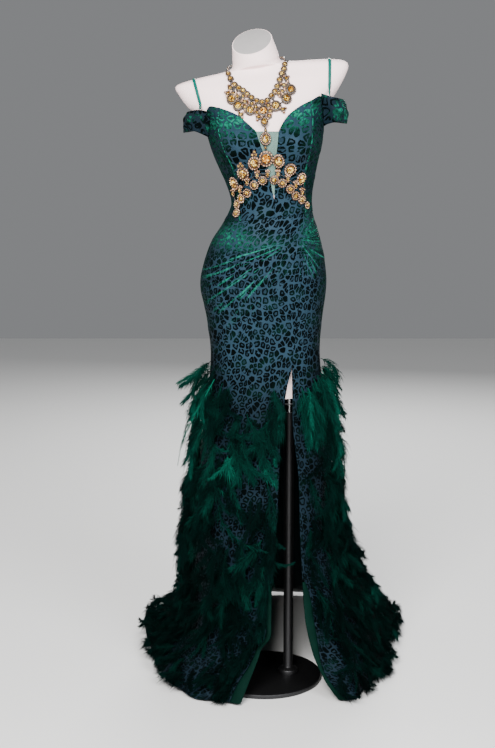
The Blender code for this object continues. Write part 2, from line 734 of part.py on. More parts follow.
def bands_and_straps():
    """Off shoulder bands that loop where an arm would be, and straps over the shoulders."""
    for name, side, rise, deep in (("left", 1, 0.0, 0.0),
                                   ("right", -1, BAND_RIGHT_RISE, BAND_RIGHT_DEEP)):
        def placed(points, lower=0.0):
            return [Vector((side * x, y, z + rise - lower)) for x, y, z in points]
        out = WALL + BAND_CLEAR
        lift = rise * 0.5
        front_top, front_low, back_top_end, back_low = (
            moved_out(gown_point, side * turn, level + lift, out) for turn, level in BAND_ENDS)
        top = smooth_run([front_top, *placed(BAND_TOP), back_top_end], BAND_COLUMNS)
        low = smooth_run([front_low, *placed(BAND_LOW, deep), back_low], BAND_COLUMNS)
        turns, levels = zip(*BAND_ENDS)
        seams = [moved_out(gown_point, side * sum(turns[n:n + 2]) / 2,
                           sum(levels[n:n + 2]) / 2 + lift, out) for n in (0, 2)]
        proud = [seam - (a + b) / 2
                 for seam, a, b in zip(seams, (top[0], top[-1]), (low[0], low[-1]))]
        rows = []
        for share in (0.0, 0.5, 1.0):
            bulge = 0.004 * math.sin(math.pi * share)
            row = []
            for n, (a, b) in enumerate(zip(low, top)):
                swell = bulge * math.sin(math.pi * n / (BAND_COLUMNS - 1))
                point = a + (b - a) * share + Vector((-side * swell, 0, 0))
                for shift, steps in zip(proud, (n, BAND_COLUMNS - 1 - n)):
                    point += shift * math.sin(math.pi * share) * max(0.0, 1 - steps / 3)
                row.append(point)
            rows.append(row[::-1] if side > 0 else row)
        grid_walls(f"sleeve_band_{name}", rows, WALL, VELVET)
        strap(name, top)


def ridge_level(x):
    """The level at which the form's shoulder tops out at x."""
    low, high = 1.530, 1.590
    for _ in range(30):
        middle = (low + high) / 2
        section = ease(FORM, middle)
        low, high = (middle, high) if section.half > abs(x - section.cx) else (low, middle)
    return low


def strap(name, band_edge):
    """A satin strap from the band's front edge over the shoulder to its back edge."""
    low_x, high_x = STRAP_X[name]
    peak = ridge_level(high_x)
    places = []
    for behind in (False, True):
        leg = []
        for n in range(STRAP_STEPS):
            share = math.sin(math.pi / 2 * n / STRAP_STEPS)
            level = STRAP_FOOT + (peak - STRAP_FOOT) * share
            x = low_x + (high_x - low_x) * share
            leg.append((turn_of(x, ease(FORM, level), behind), level))
        places += leg[::-1] if behind else leg + [(math.copysign(90, high_x), peak)]
    centres = [moved_out(form_point, *place, STRAP_CLEAR) for place in places]
    normals = [(moved_out(form_point, *place, 1.0) - form_point(*place)).normalized()
               for place in places]

    def end_on_band(points):
        a, b = min(zip(points, points[1:]), key=lambda pair: abs(pair[0].x + pair[1].x - 2 * low_x))
        share = max(0.1, min(0.9, (low_x - a.x) / (b.x - a.x)))
        return a + (b - a) * share + Vector((0, 0, STRAP_FOOT_GAP)), (b - a).normalized()

    half_way = len(band_edge) // 2
    front, front_run = end_on_band(band_edge[:half_way])
    back, back_run = end_on_band(band_edge[half_way:])
    centres = [front, *centres, back]
    normals = [normals[0], *normals, normals[-1]]
    runs = {0: front_run, len(centres) - 1: back_run}
    inner, outer = [], []
    for n, (centre, normal) in enumerate(zip(centres, normals)):
        path = centres[min(n + 1, len(centres) - 1)] - centres[max(n - 1, 0)]
        across = path.cross(normal).normalized()
        if n in runs:
            across = runs[n] * math.copysign(1, runs[n].dot(across))
        across *= STRAP_WIDE / 2
        inner.append([centre - across, centre + across])
        outer.append([p + normal * STRAP_THICK for p in inner[-1]])
    wall(f"strap_{name}", inner, outer, SATIN)


# Cut stones: place, width, height and depth. Those of the crown lie on the bodice, those of
# the necklace on the form's chest.
Gem = namedtuple("Gem", "x z wide high deep")
CROWN_BIG = [Gem(*row) for row in (
    (-0.0718, 1.2953, 0.029, 0.032, 0.009),
    (-0.0526, 1.3206, 0.029, 0.032, 0.009),
    (-0.0292, 1.3450, 0.029, 0.032, 0.009),
    (0.0008, 1.3544, 0.032, 0.036, 0.011),
    (0.0323, 1.3504, 0.029, 0.032, 0.009),
    (0.0580, 1.3308, 0.029, 0.032, 0.009),
    (0.0820, 1.3062, 0.029, 0.032, 0.009),
    (-0.0588, 1.3385, 0.019, 0.021, 0.006),
    (-0.0306, 1.3632, 0.017, 0.020, 0.006),
)]
CROWN_SMALL = [Gem(*row) for row in (
    (-0.0705, 1.2241, 0.018, 0.018, 0.006),
    (-0.0664, 1.2445, 0.018, 0.018, 0.006),
    (-0.0553, 1.2576, 0.018, 0.018, 0.006),
    (-0.0416, 1.2719, 0.018, 0.018, 0.006),
    (-0.0262, 1.2910, 0.018, 0.018, 0.006),
    (-0.0070, 1.3019, 0.018, 0.018, 0.006),
    (0.0205, 1.3033, 0.018, 0.018, 0.006),
    (0.0391, 1.2957, 0.018, 0.018, 0.006),
    (0.0571, 1.2814, 0.018, 0.018, 0.006),
    (0.0695, 1.2643, 0.018, 0.018, 0.006),
    (0.0835, 1.2547, 0.018, 0.018, 0.006),
    (0.0966, 1.2397, 0.015, 0.015, 0.005),
)]
NECKLACE_BIG = [Gem(*row) for row in (
    (-0.0830, 1.4921, 0.022, 0.024, 0.008),
    (-0.0653, 1.4777, 0.022, 0.024, 0.008),
    (-0.0366, 1.4658, 0.024, 0.027, 0.009),
    (-0.0059, 1.4646, 0.027, 0.027, 0.010),
    (0.0221, 1.4754, 0.024, 0.027, 0.009),
    (0.0476, 1.4944, 0.022, 0.024, 0.008),
    (0.0573, 1.5148, 0.022, 0.024, 0.008),
)]
NECKLACE_SMALL = [Gem(*row) for row in (
    (-0.0836, 1.5371, 0.015, 0.015, 0.005),
    (-0.0709, 1.5228, 0.015, 0.015, 0.005),
    (-0.0563, 1.5155, 0.015, 0.015, 0.005),
    (-0.0389, 1.4988, 0.015, 0.015, 0.005),
    (-0.0199, 1.4879, 0.015, 0.015, 0.005),
    (-0.0002, 1.4907, 0.015, 0.015, 0.005),
    (0.0174, 1.5058, 0.015, 0.015, 0.005),
    (0.0299, 1.5094, 0.015, 0.015, 0.005),
    (0.0364, 1.5448, 0.015, 0.015, 0.005),
    (0.0448, 1.5587, 0.015, 0.015, 0.005),
)]
NECKLACE_DROP = Gem(-0.0040, 1.4360, 0.019, 0.024, 0.007)
PENDANT = Gem(-0.0011, 1.3960, 0.028, 0.034, 0.010)
FRAME_THICK = 0.0020     # the metal backs that carry the stones
CROWN_CLEAR = 0.0030     # air between the bodice and the crown's back


def gem_mesh(data, gem, centre, normal):
    """A cut stone as a frustum, its foot sunk half way into the metal back."""
    sides = 8 if gem.wide > 0.02 else 6
    right = Vector((1, 0, 0))
    right = (right - normal * right.dot(normal)).normalized()
    up = normal.cross(right) * -1
    rings = []
    for share, high in ((1.0, 0.0), (0.66, gem.deep)):
        ring = []
        for n in range(sides):
            angle = 2 * math.pi * (n + 0.5) / sides
            ring.append(data.verts.new(centre + normal * high
                                       + right * math.cos(angle) * gem.wide / 2 * share
                                       + up * math.sin(angle) * gem.high / 2 * share))
        rings.append(ring)
    for low, high in zip(rings, rings[1:]):
        for n in range(sides):
            m = (n + 1) % sides
            data.faces.new((low[n], low[m], high[m], high[n]))
    data.faces.new(rings[0])
    data.faces.new(rings[-1])


def set_stones(frame, gems, surface, rows, out):
    """Joins stones to a metal back with one Boolean."""
    data = bmesh.new()
    for gem in gems:
        turn, level = on_front(Point(gem.x, gem.z), rows)
        centre = moved_out(surface, turn, level, out)
        normal = (centre - surface(turn, level)).normalized()
        gem_mesh(data, gem, centre, normal)
    bmesh.ops.recalc_face_normals(data, faces=data.faces)
    mesh = bpy.data.meshes.new(f"{frame.name}_stones")
    data.to_mesh(mesh)
    data.free()
    stones = bpy.data.objects.new(f"{frame.name}_stones", mesh)
    stones.hide_render = True
    stones.display_type = "WIRE"
    CUTTERS.objects.link(stones)
    join = frame.modifiers.new("stones", "BOOLEAN")
    join.operation = "UNION"
    join.solver = "EXACT"
    join.use_self = True
    join.object = stones


def crown():
    """The crown of stones on the bodice: an arched metal back from arm to arm of the crown."""
    outer_run = [CROWN_SMALL[0], CROWN_BIG[0], CROWN_BIG[1], CROWN_BIG[2], CROWN_BIG[3],
                 CROWN_BIG[4], CROWN_BIG[5], CROWN_BIG[6], CROWN_SMALL[11]]
    inner_run = [CROWN_SMALL[0], *CROWN_SMALL[2:10], CROWN_SMALL[11]]
    count = 15
    middle = Point(0.006, 1.270)
    edges = []
    for run, shift in ((inner_run, -0.006), (outer_run, 0.006)):
        points = [Point(gem.x, gem.z) for gem in run]
        edge = []
        for n in range(count):
            at = along(points, n / (count - 1))
            away = Vector((at.x - middle.x, at.z - middle.z)).normalized() * shift
            edge.append(Point(at.x + away.x, at.z + away.y))
        edges.append(edge)
    places = []
    for share in (0.0, 0.5, 1.0):
        places.append([on_front(Point(a.x + (b.x - a.x) * share, a.z + (b.z - a.z) * share))
                       for a, b in zip(*edges)])
    base = WALL + CROWN_CLEAR
    skins = [[[moved_out(gown_point, *place, out) for place in row] for row in places]
             for out in (base, base + FRAME_THICK)]
    frame = wall("crown_ornament", *skins, STONE)
    set_stones(frame, CROWN_BIG + CROWN_SMALL, gown_point, GOWN, base + FRAME_THICK / 2)


def pendant():
    """The oval stone that hangs between necklace and crown, on its links."""
    low, high, half = 1.3704, 1.4500, 0.003
    base = WALL + TRIM_CLEAR + 0.004
    places = []
    for n in range(7):
        z = low + (high - low) * n / 6
        places.append([on_front(Point(PENDANT.x - half, z)), on_front(Point(PENDANT.x + half, z))])
    skins = [[[moved_out(gown_point, *place, out) for place in row] for row in places]
             for out in (base, base + FRAME_THICK)]
    frame = wall("pendant_oval", *skins, STONE)
    set_stones(frame, [PENDANT, NECKLACE_DROP], gown_point, GOWN, base + FRAME_THICK / 2)


# The necklace's metal back: its two edges on the chest, then round the nape
COLLAR = [Point(*p) for p in ((-0.089, 1.556), (-0.071, 1.5240), (-0.048, 1.507),
                              (-0.020, 1.4900), (-0.002, 1.4930), (0.018, 1.508),
                              (0.033, 1.530), (0.044, 1.560))]
BIB = [Point(*p) for p in ((-0.092, 1.552), (-0.083, 1.500), (-0.060, 1.478),
                           (-0.030, 1.466), (-0.005, 1.4640), (0.024, 1.475),
                           (0.047, 1.500), (0.049, 1.557))]
# Over the shoulders: level on the form, and x of the upper and the lower edge
Climb = namedtuple("Climb", "level inner outer")
CLIMB_RIGHT = [Climb(*row) for row in (
    (1.5690, 0.0445, 0.0485), (1.5730, 0.0440, 0.0480), (1.5760, 0.0430, 0.0470),
    (1.5775, 0.0415, 0.0455))]
CLIMB_LEFT = [Climb(*row) for row in (
    (1.5765, -0.0870, -0.0905), (1.5740, -0.0875, -0.0912), (1.5710, -0.0880, -0.0915))]
NAPE_STEPS = 8
NAPE_TURN = 100          # from here round to the other side the chain lies behind the neck
NAPE_LEVELS = (1.5790, 1.5805)
NECKLACE_CLEAR = 0.0030
NAPE_CLEAR = 0.0045
NAPE_HIGH = 0.0012       # how far apart the two edges are behind the neck


def necklace():
    """A closed ring of metal on the form's chest and nape, with its stones and its drop."""
    out = NECKLACE_CLEAR
    top = [on_front(p, FORM) for p in COLLAR]
    low = [on_front(p, FORM) for p in BIB]
    def climb(stops):
        for stop in stops:
            section = ease(FORM, stop.level)
            top.append((turn_of(stop.inner, section), stop.level))
            low.append((turn_of(stop.outer, section), stop.level))

    climb(CLIMB_RIGHT)
    side_level, back_level = NAPE_LEVELS
    for n in range(NAPE_STEPS + 1):
        share = n / NAPE_STEPS
        turn = NAPE_TURN + (360 - 2 * NAPE_TURN) * share
        turn = turn - 360 if turn > 180 else turn
        level = side_level + (back_level - side_level) * math.sin(math.pi * share)
        top.append((turn, level))
        low.append((turn, level - NAPE_HIGH))
    climb(CLIMB_LEFT)
    lifts = [out] * len(COLLAR) + [NAPE_CLEAR] * (len(top) - len(COLLAR))
    skins = [[[moved_out(form_point, *place, lift + thick) for place, lift in zip(row, lifts)]
              for row in (low, top)] for thick in (0.0, FRAME_THICK)]
    frame = wall("necklace", *skins, STONE, ring=True)
    set_stones(frame, NECKLACE_BIG + NECKLACE_SMALL, form_point, FORM, out + FRAME_THICK / 2)


def form():
    """The dress form: one smooth closed body from the thighs to the cut neck."""
    data = bmesh.new()
    levels = [s.level for s in FORM]
    steps = []
    for low, high in zip(levels, levels[1:]):
        count = max(1, round((high - low) / FORM_STEP))
        steps += [low + (high - low) * n / count for n in range(count)]
    steps.append(levels[-1])
    sides = FORM_SIDES
    rings = [[data.verts.new(form_point(360 * n / sides - 180, level)) for n in range(sides)]
             for level in steps]
    for low, high in zip(rings, rings[1:]):
        for n in range(sides):
            m = (n + 1) % sides
            data.faces.new((low[n], low[m], high[m], high[n]))
    data.faces.new(rings[0][::-1])
    data.faces.new(rings[-1])
    finish("form_torso", data, FORM_SKIN)


def turned(name, profile, x, y, mat, steps=24):
    """A round piece from a profile of radius and height, top to bottom, by a Screw modifier."""
    mesh = bpy.data.meshes.new(name)
    mesh.from_pydata([(r, 0, z) for r, z in profile],
                     [(n, n + 1) for n in range(len(profile) - 1)], [])
    mesh.materials.append(mat)
    made = bpy.data.objects.new(name, mesh)
    made.location = (x, y, 0)
    screw = made.modifiers.new("turn", "SCREW")
    screw.steps = screw.render_steps = steps
    screw.use_merge_vertices = True
    screw.merge_threshold = 0.0001
    screw.use_smooth_shade = False
    PARTS.objects.link(made)
    return made


def stand():
    """A round steel base, its pole, and the collar that takes the form."""
    edge = 0.003
    turned("stand_base", [(0.0, BASE_HIGH), (BASE_RADIUS - edge, BASE_HIGH),
                          (BASE_RADIUS, BASE_HIGH - edge), (BASE_RADIUS, 0.0), (0.0, 0.0)],
           0, 0, STEEL, steps=40)
    top = FORM_BOTTOM - 0.045
    turned("stand_pole", [(0.0, top - SEAM), (POLE_RADIUS, top - SEAM),
                          (POLE_RADIUS, 0.030), (0.026, 0.024),
                          (0.026, BASE_HIGH + SEAM), (0.0, BASE_HIGH + SEAM)],
           POLE_X, 0, STEEL, steps=20)
    turned("stand_collar", [(0.0, FORM_BOTTOM - SEAM), (0.024, FORM_BOTTOM - SEAM),
                            (0.024, FORM_BOTTOM - 0.020), (0.016, FORM_BOTTOM - 0.026),
                            (0.016, top), (0.0, top)], POLE_X, 0, STEEL, steps=20)


form()
stand()
bodice()
skirt = skirt_panels()
for panel_name, panel_rows in skirt.items():
    cloth(panel_name, panel_rows, VELVET)
feathers(skirt)
facings()
bands_and_straps()
crown()
pendant()
necklace()
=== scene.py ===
import math

import bpy
import numpy as np
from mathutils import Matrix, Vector


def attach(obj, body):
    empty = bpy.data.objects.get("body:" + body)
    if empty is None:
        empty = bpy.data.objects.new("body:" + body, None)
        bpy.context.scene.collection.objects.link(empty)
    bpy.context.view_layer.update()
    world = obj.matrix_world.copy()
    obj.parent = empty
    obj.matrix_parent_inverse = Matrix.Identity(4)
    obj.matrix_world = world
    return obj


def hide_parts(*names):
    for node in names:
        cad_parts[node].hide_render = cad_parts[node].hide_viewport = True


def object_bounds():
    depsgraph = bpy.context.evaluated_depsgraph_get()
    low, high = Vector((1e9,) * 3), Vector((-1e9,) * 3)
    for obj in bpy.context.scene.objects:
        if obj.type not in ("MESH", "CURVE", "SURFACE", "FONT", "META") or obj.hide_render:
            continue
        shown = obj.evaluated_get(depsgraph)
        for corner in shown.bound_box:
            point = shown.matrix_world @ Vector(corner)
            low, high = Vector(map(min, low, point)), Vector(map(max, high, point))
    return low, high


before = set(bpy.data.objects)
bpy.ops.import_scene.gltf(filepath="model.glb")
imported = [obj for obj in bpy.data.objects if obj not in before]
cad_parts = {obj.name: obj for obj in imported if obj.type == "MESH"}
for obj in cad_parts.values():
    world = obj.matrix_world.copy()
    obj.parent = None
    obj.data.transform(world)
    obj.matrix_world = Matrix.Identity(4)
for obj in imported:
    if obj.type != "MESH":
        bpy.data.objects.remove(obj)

CAD_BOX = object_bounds()

# Sizes shared with the frame's source, in metres
WALL = 0.0020
WAIST = 1.210
SIDE_TOP = 1.400
BACK_TOP = 1.385
HEM = 0.006
FORM_BOTTOM = 0.760
SLIT_TOP = 0.852
CLEAR = 0.0035
BUST_X = 0.080
BUST_LEVEL = 1.392
BUST_PROUD = 0.052
BUST_WIDE = 0.052
BUST_HIGH = 0.056
FORM_BUST = 0.90
FLUTES_HIGH = 0.25
FLUTES_FADE = 1.5
POLE_X = 0.063
POLE_RADIUS = 0.0125
BASE_RADIUS = 0.150
BASE_HIGH = 0.012

# Sections: level, centre x and y, half width, depth to front and back, squareness, slopes
BODY = np.array((
    (1.040, -0.004, 0.020, 0.1530, 0.1130, 0.125, 2.20, 0.00, 0.00),
    (1.100, -0.002, 0.018, 0.1450, 0.1120, 0.115, 2.20, 0.03, 0.00),
    (1.160, 0.000, 0.014, 0.1272, 0.1030, 0.095, 2.15, 0.08, 0.00),
    (1.210, 0.008, 0.011, 0.1040, 0.0910, 0.079, 2.10, 0.11, 0.00),
    (1.250, 0.016, 0.010, 0.0935, 0.0850, 0.073, 2.10, 0.09, 0.00),
    (1.300, 0.012, 0.010, 0.1040, 0.0870, 0.079, 2.10, 0.05, 0.00),
    (1.340, 0.006, 0.012, 0.1170, 0.0910, 0.088, 2.15, 0.03, 0.00),
    (1.380, 0.003, 0.015, 0.1300, 0.0950, 0.095, 2.20, 0.03, 0.00),
    (1.420, 0.000, 0.018, 0.1390, 0.0930, 0.098, 2.20, 0.05, 0.00),
    (1.460, -0.002, 0.022, 0.1520, 0.0860, 0.098, 2.25, 0.08, 0.00),
    (1.490, -0.006, 0.025, 0.1790, 0.0780, 0.094, 2.30, 0.11, 0.00),
    (1.532, -0.008, 0.028, 0.2060, 0.0660, 0.085, 2.30, 0.12, 0.00),
    (1.554, -0.009, 0.030, 0.2118, 0.0550, 0.073, 2.30, 0.13, 0.00),
    (1.564, -0.008, 0.030, 0.1925, 0.0515, 0.067, 2.20, 0.14, 0.00),
    (1.570, -0.011, 0.030, 0.1505, 0.0500, 0.062, 2.15, 0.15, 0.00),
    (1.573, -0.017, 0.028, 0.1020, 0.0505, 0.059, 2.10, 0.16, 0.03),
    (1.576, -0.019, 0.024, 0.0760, 0.0515, 0.056, 2.05, 0.16, 0.07),
    (1.580, -0.022, 0.020, 0.0605, 0.0520, 0.054, 2.00, 0.16, 0.12),
    (1.600, -0.025, 0.014, 0.0560, 0.0505, 0.050, 2.00, 0.12, 0.33),
    (1.633, -0.033, 0.008, 0.0485, 0.0480, 0.048, 2.00, 0.20, 0.68),
))
THIGHS = np.array((
    (FORM_BOTTOM, 0.000, 0.016, 0.1130, 0.0880, 0.092, 2.20, 0.00, 0.00),
    (0.860, 0.000, 0.018, 0.1230, 0.0920, 0.100, 2.20, 0.00, 0.00),
    (0.960, -0.002, 0.020, 0.1390, 0.1020, 0.114, 2.20, 0.00, 0.00),
))
SKIRT = np.array((
    (HEM, 0.018, 0.350, 0.3560, 0.5150, 0.280, 2.30, 0.00, 0.00),
    (0.050, 0.030, 0.300, 0.3180, 0.4550, 0.250, 2.30, 0.00, 0.00),
    (0.110, 0.043, 0.240, 0.2730, 0.3820, 0.235, 2.25, 0.00, 0.00),
    (0.170, 0.035, 0.200, 0.2430, 0.3320, 0.220, 2.20, 0.00, 0.00),
    (0.220, 0.028, 0.180, 0.2220, 0.3020, 0.205, 2.20, 0.00, 0.00),
    (0.300, 0.012, 0.140, 0.2040, 0.2520, 0.190, 2.20, 0.00, 0.00),
    (0.390, 0.001, 0.110, 0.1880, 0.2130, 0.175, 2.20, 0.00, 0.00),
    (0.480, -0.002, 0.085, 0.1770, 0.1820, 0.155, 2.20, 0.00, 0.00),
    (0.570, 0.003, 0.060, 0.1700, 0.1520, 0.145, 2.20, 0.00, 0.00),
    (0.640, 0.003, 0.045, 0.1620, 0.1350, 0.135, 2.20, 0.00, 0.00),
    (0.720, 0.002, 0.034, 0.1500, 0.1210, 0.127, 2.20, 0.00, 0.00),
    (0.800, 0.002, 0.026, 0.1410, 0.1090, 0.119, 2.20, 0.00, 0.00),
    (0.870, 0.001, 0.022, 0.1365, 0.1020, 0.113, 2.20, 0.00, 0.00),
    (0.950, -0.001, 0.020, 0.1430, 0.1070, 0.119, 2.20, 0.00, 0.00),
))
FORM = np.vstack([THIGHS, BODY])
GOWN = np.vstack([SKIRT, BODY + np.array((0, 0, 0, CLEAR, CLEAR, CLEAR, 0, 0, 0))])

# Broad folds from the gather on the hip: start x and z, end x and z, height, width
FOLDS = np.array((
    (0.082, 1.148, -0.130, 1.104, 0.0055, 0.0100),
    (0.080, 1.140, -0.140, 1.030, 0.0060, 0.0115),
    (0.080, 1.132, -0.122, 0.940, 0.0065, 0.0125),
    (0.078, 1.160, -0.075, 1.150, 0.0045, 0.0095),
    (0.084, 1.122, -0.020, 0.930, 0.0040, 0.0120),
    (0.096, 1.156, 0.114, 1.196, 0.0035, 0.0080),
    (0.100, 1.144, 0.142, 1.112, 0.0045, 0.0085),
    (0.098, 1.134, 0.118, 1.070, 0.0040, 0.0085),
))
# Folds fade out over these degrees before the side seams, and past their ends over this
# share of their length. Their width starts at the first factor and grows by the second.
FOLD_END = 14.0
FOLD_PAST = 0.15
FOLD_START = 0.7
FOLD_GROWTH = 0.6

# Finer creases between the broad folds, drawn the same way
CREASES = np.array((
    (0.078, 1.153, -0.128, 1.128, 0.0026, 0.0036),
    (0.076, 1.166, -0.060, 1.176, 0.0020, 0.0034),
    (0.080, 1.144, -0.136, 1.072, 0.0030, 0.0040),
    (0.080, 1.136, -0.134, 0.990, 0.0026, 0.0042),
    (0.082, 1.128, -0.090, 0.925, 0.0020, 0.0045),
    (0.074, 1.172, -0.030, 1.196, 0.0018, 0.0034),
    (0.070, 1.150, -0.115, 1.142, 0.0022, 0.0030),
    (0.0965, 1.150, 0.104, 1.204, 0.0024, 0.0024),
    (0.0975, 1.148, 0.115, 1.198, 0.0026, 0.0026),
    (0.0980, 1.147, 0.126, 1.188, 0.0028, 0.0027),
    (0.0985, 1.146, 0.136, 1.174, 0.0028, 0.0026),
    (0.0990, 1.145, 0.143, 1.160, 0.0028, 0.0027),
    (0.0990, 1.143, 0.147, 1.144, 0.0028, 0.0026),
    (0.0985, 1.141, 0.145, 1.126, 0.0028, 0.0027),
    (0.0980, 1.140, 0.141, 1.106, 0.0028, 0.0027),
    (0.0975, 1.138, 0.133, 1.088, 0.0026, 0.0028),
    (0.0970, 1.137, 0.122, 1.072, 0.0026, 0.0028),
    (0.0965, 1.136, 0.110, 1.058, 0.0024, 0.0028),
))

# The front seam and the slit's edges: level, x on the left, x on the right
SLIT = np.array((
    (HEM, -0.056, 0.172),
    (0.050, -0.038, 0.146),
    (0.110, -0.014, 0.121),
    (0.135, -0.006, 0.114),
    (0.160, 0.014, 0.108),
    (0.200, 0.016, 0.101),
    (0.290, 0.018, 0.095),
    (0.430, 0.028, 0.088),
    (0.560, 0.035, 0.084),
    (0.680, 0.039, 0.070),
    (0.780, 0.052, 0.067),
    (SLIT_TOP, 0.067, 0.067),
    (1.000, 0.082, 0.082),
    (1.143, 0.094, 0.094),
    (WAIST, 0.097, 0.097),
))
# Widths of the slit's facings: level, left and right
FACING = np.array((
    (HEM, 0.026, 0.016),
    (0.050, 0.024, 0.009),
    (0.085, 0.016, 0.008),
    (0.110, 0.012, 0.013),
    (0.150, 0.012, 0.019),
    (0.206, 0.012, 0.021),
    (0.260, 0.010, 0.016),
    (0.300, 0.003, 0.004),
))

# The hem's flutes: turn, and how far the hem stands out or folds in there
FLUTES = np.array((
    (-180, 0.008), (-155, -0.011), (-130, 0.011), (-106, 0.018), (-85, -0.006), (-71, -0.015),
    (-56, -0.006), (-44, 0.014), (-35, 0.024), (-26, 0.044), (-18, 0.026), (-10, 0.034),
    (0, 0.034), (22, 0.034), (27, 0.056), (35, 0.025), (44, 0.008), (52, 0.000), (58, -0.007),
    (64, -0.019), (72, -0.046), (77, -0.024), (82, -0.010), (95, 0.012), (114, 0.028),
    (135, -0.008), (158, 0.008), (180, 0.008),
))

# The bodice's seams and neckline on the front, as x and z
PRINCESS_LEFT = ((-0.062, 1.197), (-0.0715, 1.310), (-0.105, 1.392), (-0.112, 1.430),
                 (-0.112, 1.474))
PRINCESS_RIGHT = ((0.097, 1.217), (0.0935, 1.312), (0.108, 1.392), (0.111, 1.457),
                  (0.108, 1.491))
CENTRE_WAIST = (0.0225, 1.211)
MESH_POINT = (0.0205, 1.2546)
CUP_LEFT = ((-0.112, 1.474), (-0.071, 1.457), (-0.045, 1.436), (-0.024, 1.417))
CUP_RIGHT = ((0.031, 1.417), (0.0385, 1.4325), (0.055, 1.456), (0.082, 1.477),
             (0.108, 1.491))
ARM_LEFT = (-0.139, 1.474)
ARM_RIGHT = (0.134, 1.500)
BACK_ARM_TURN = 128
BACK_ARM_LEVEL = 1.436
BODICE_ROWS = 10
# The bodice's pattern is laid out flat over turn and level, with this radius and stretch
GOWN_RADIUS = 0.125
GOWN_STRETCH = 1.04
# The sheer panel: how its two sides bow, half its foot in degrees, the foot's height over
# the point, and its two faces' distance from the gown's surface
MESH_BOWS = (0.006, -0.002)
MESH_FOOT = 0.45
MESH_RISE = 0.012
MESH_FACES = (0.0006, 0.0014)

# The thin folds that run out of the gather on the hip: the gather's x and z, and each
# fan's middle and half spread in radians. A start and an end are a distance in metres, or
# a turn in degrees, with the stretch over which the folds begin or die out there.
GATHER = (0.078, 1.157)
FAN_LEFT = (-1.06, 0.40)
FAN_RIGHT = (1.45, 1.15)
FAN_LEFT_START = (0.02, 0.06)
FAN_LEFT_END = (0.285, 0.12)
FAN_RIGHT_END = (0.115, 0.040)
FAN_LEFT_SHARE = 0.85
FAN_SIDE_END = (94, 16)
# How many waves of noise lie in a radian of each fan, and how the left ones bend
RAYS_LEFT = 25
RAYS_RIGHT = 13
RAYS_BEND = 5
# Relief of the cloth in metres: waves low on the skirt, and fine ones all over
LOW_WAVES = 0.0035
LOW_WAVES_TOP = 0.55
FINE_WAVES = 0.0006
SEAM_DEEP = 0.0009
# How wide the painted highlight along a seam's edge is
SEAM_GLOW_WIDE = 0.0022

# Painted green sheen on the front, where the velvet would catch the light: x, z, half sizes, how
# much
PAINTED_SHEEN_FRONT = (
    (-0.085, 1.442, 0.055, 0.030, 0.95), (0.078, 1.462, 0.050, 0.032, 0.95),
    (-0.120, 1.370, 0.022, 0.060, 0.22), (0.120, 1.380, 0.020, 0.060, 0.22),
    (-0.098, 1.270, 0.022, 0.060, 0.15), (-0.094, 1.168, 0.040, 0.024, 0.80),
    (0.122, 1.165, 0.026, 0.046, 0.85), (-0.060, 1.150, 0.080, 0.020, 0.25),
    (0.118, 1.250, 0.020, 0.050, 0.20),
)
# The same on the back: z, half height, how much
PAINTED_SHEEN_BACK = ((1.400, 0.05, 0.45), (1.100, 0.06, 0.35))
PAINTED_SHEEN_SIDES = 0.18
PAINTED_SHEEN_NOISE = 0.03


def signed(value, power):
    return np.sign(value) * np.abs(value) ** power


def rising(value, start, over):
    """From 0 at the start to 1 after a stretch."""
    return np.clip((value - start) / over, 0, 1)


def falling(value, end, over):
    """From 1 before a stretch to 0 at the end."""
    return np.clip((end - value) / over, 0, 1)


def unit(vectors):
    return vectors / np.maximum(np.linalg.norm(vectors, axis=-1, keepdims=True), 1e-12)


def lengths_along(points):
    """How far each point of a run lies from its start, along the run."""
    return np.concatenate([[0], np.cumsum(np.linalg.norm(np.diff(points, axis=0), axis=1))])


def eased(rows, at):
    """The rows' columns at each place, on a smooth curve. The first column is the key."""
    keys = rows[:, 0]
    at = np.clip(np.asarray(at, float), keys[0], keys[-1])
    ends = np.concatenate([rows[:1], rows, rows[-1:]])
    slopes = (ends[2:] - ends[:-2]) / np.maximum(ends[2:, :1] - ends[:-2, :1], 1e-9)
    i = np.clip(np.searchsorted(keys, at, "left") - 1, 0, len(keys) - 2)
    span = (keys[i + 1] - keys[i])[..., None]
    u = (at - keys[i])[..., None] / span
    return (rows[i] * (2 * u ** 3 - 3 * u ** 2 + 1)
            + slopes[i] * span * (u ** 3 - 2 * u ** 2 + u)
            + rows[i + 1] * (3 * u ** 2 - 2 * u ** 3)
            + slopes[i + 1] * span * (u ** 3 - u ** 2))


def folds_at(table, x, z, turn):
    """Height of the folds in a table, each a ridge along its own line."""
    fade_out = falling(np.abs(turn), 90, FOLD_END)
    total = np.zeros_like(x)
    for x0, z0, x1, z1, height, width in table:
        run = np.array((x1 - x0, z1 - z0))
        size = run @ run
        far_x, far_z = x - x0, z - z0
        along = (far_x * run[0] + far_z * run[1]) / size
        across = (far_x * run[1] - far_z * run[0]) / math.sqrt(size)
        far = across / (width * (FOLD_START + FOLD_GROWTH * np.clip(along, 0, 1)))
        share = rising(along, -FOLD_PAST, 1 + 2 * FOLD_PAST)
        fade = np.sqrt(np.maximum(np.sin(np.pi * share), 0))
        inside = (along > -FOLD_PAST) & (along < 1 + FOLD_PAST)
        total += np.where(inside, height * np.exp(-far * far) * fade, 0)
    return total * fade_out


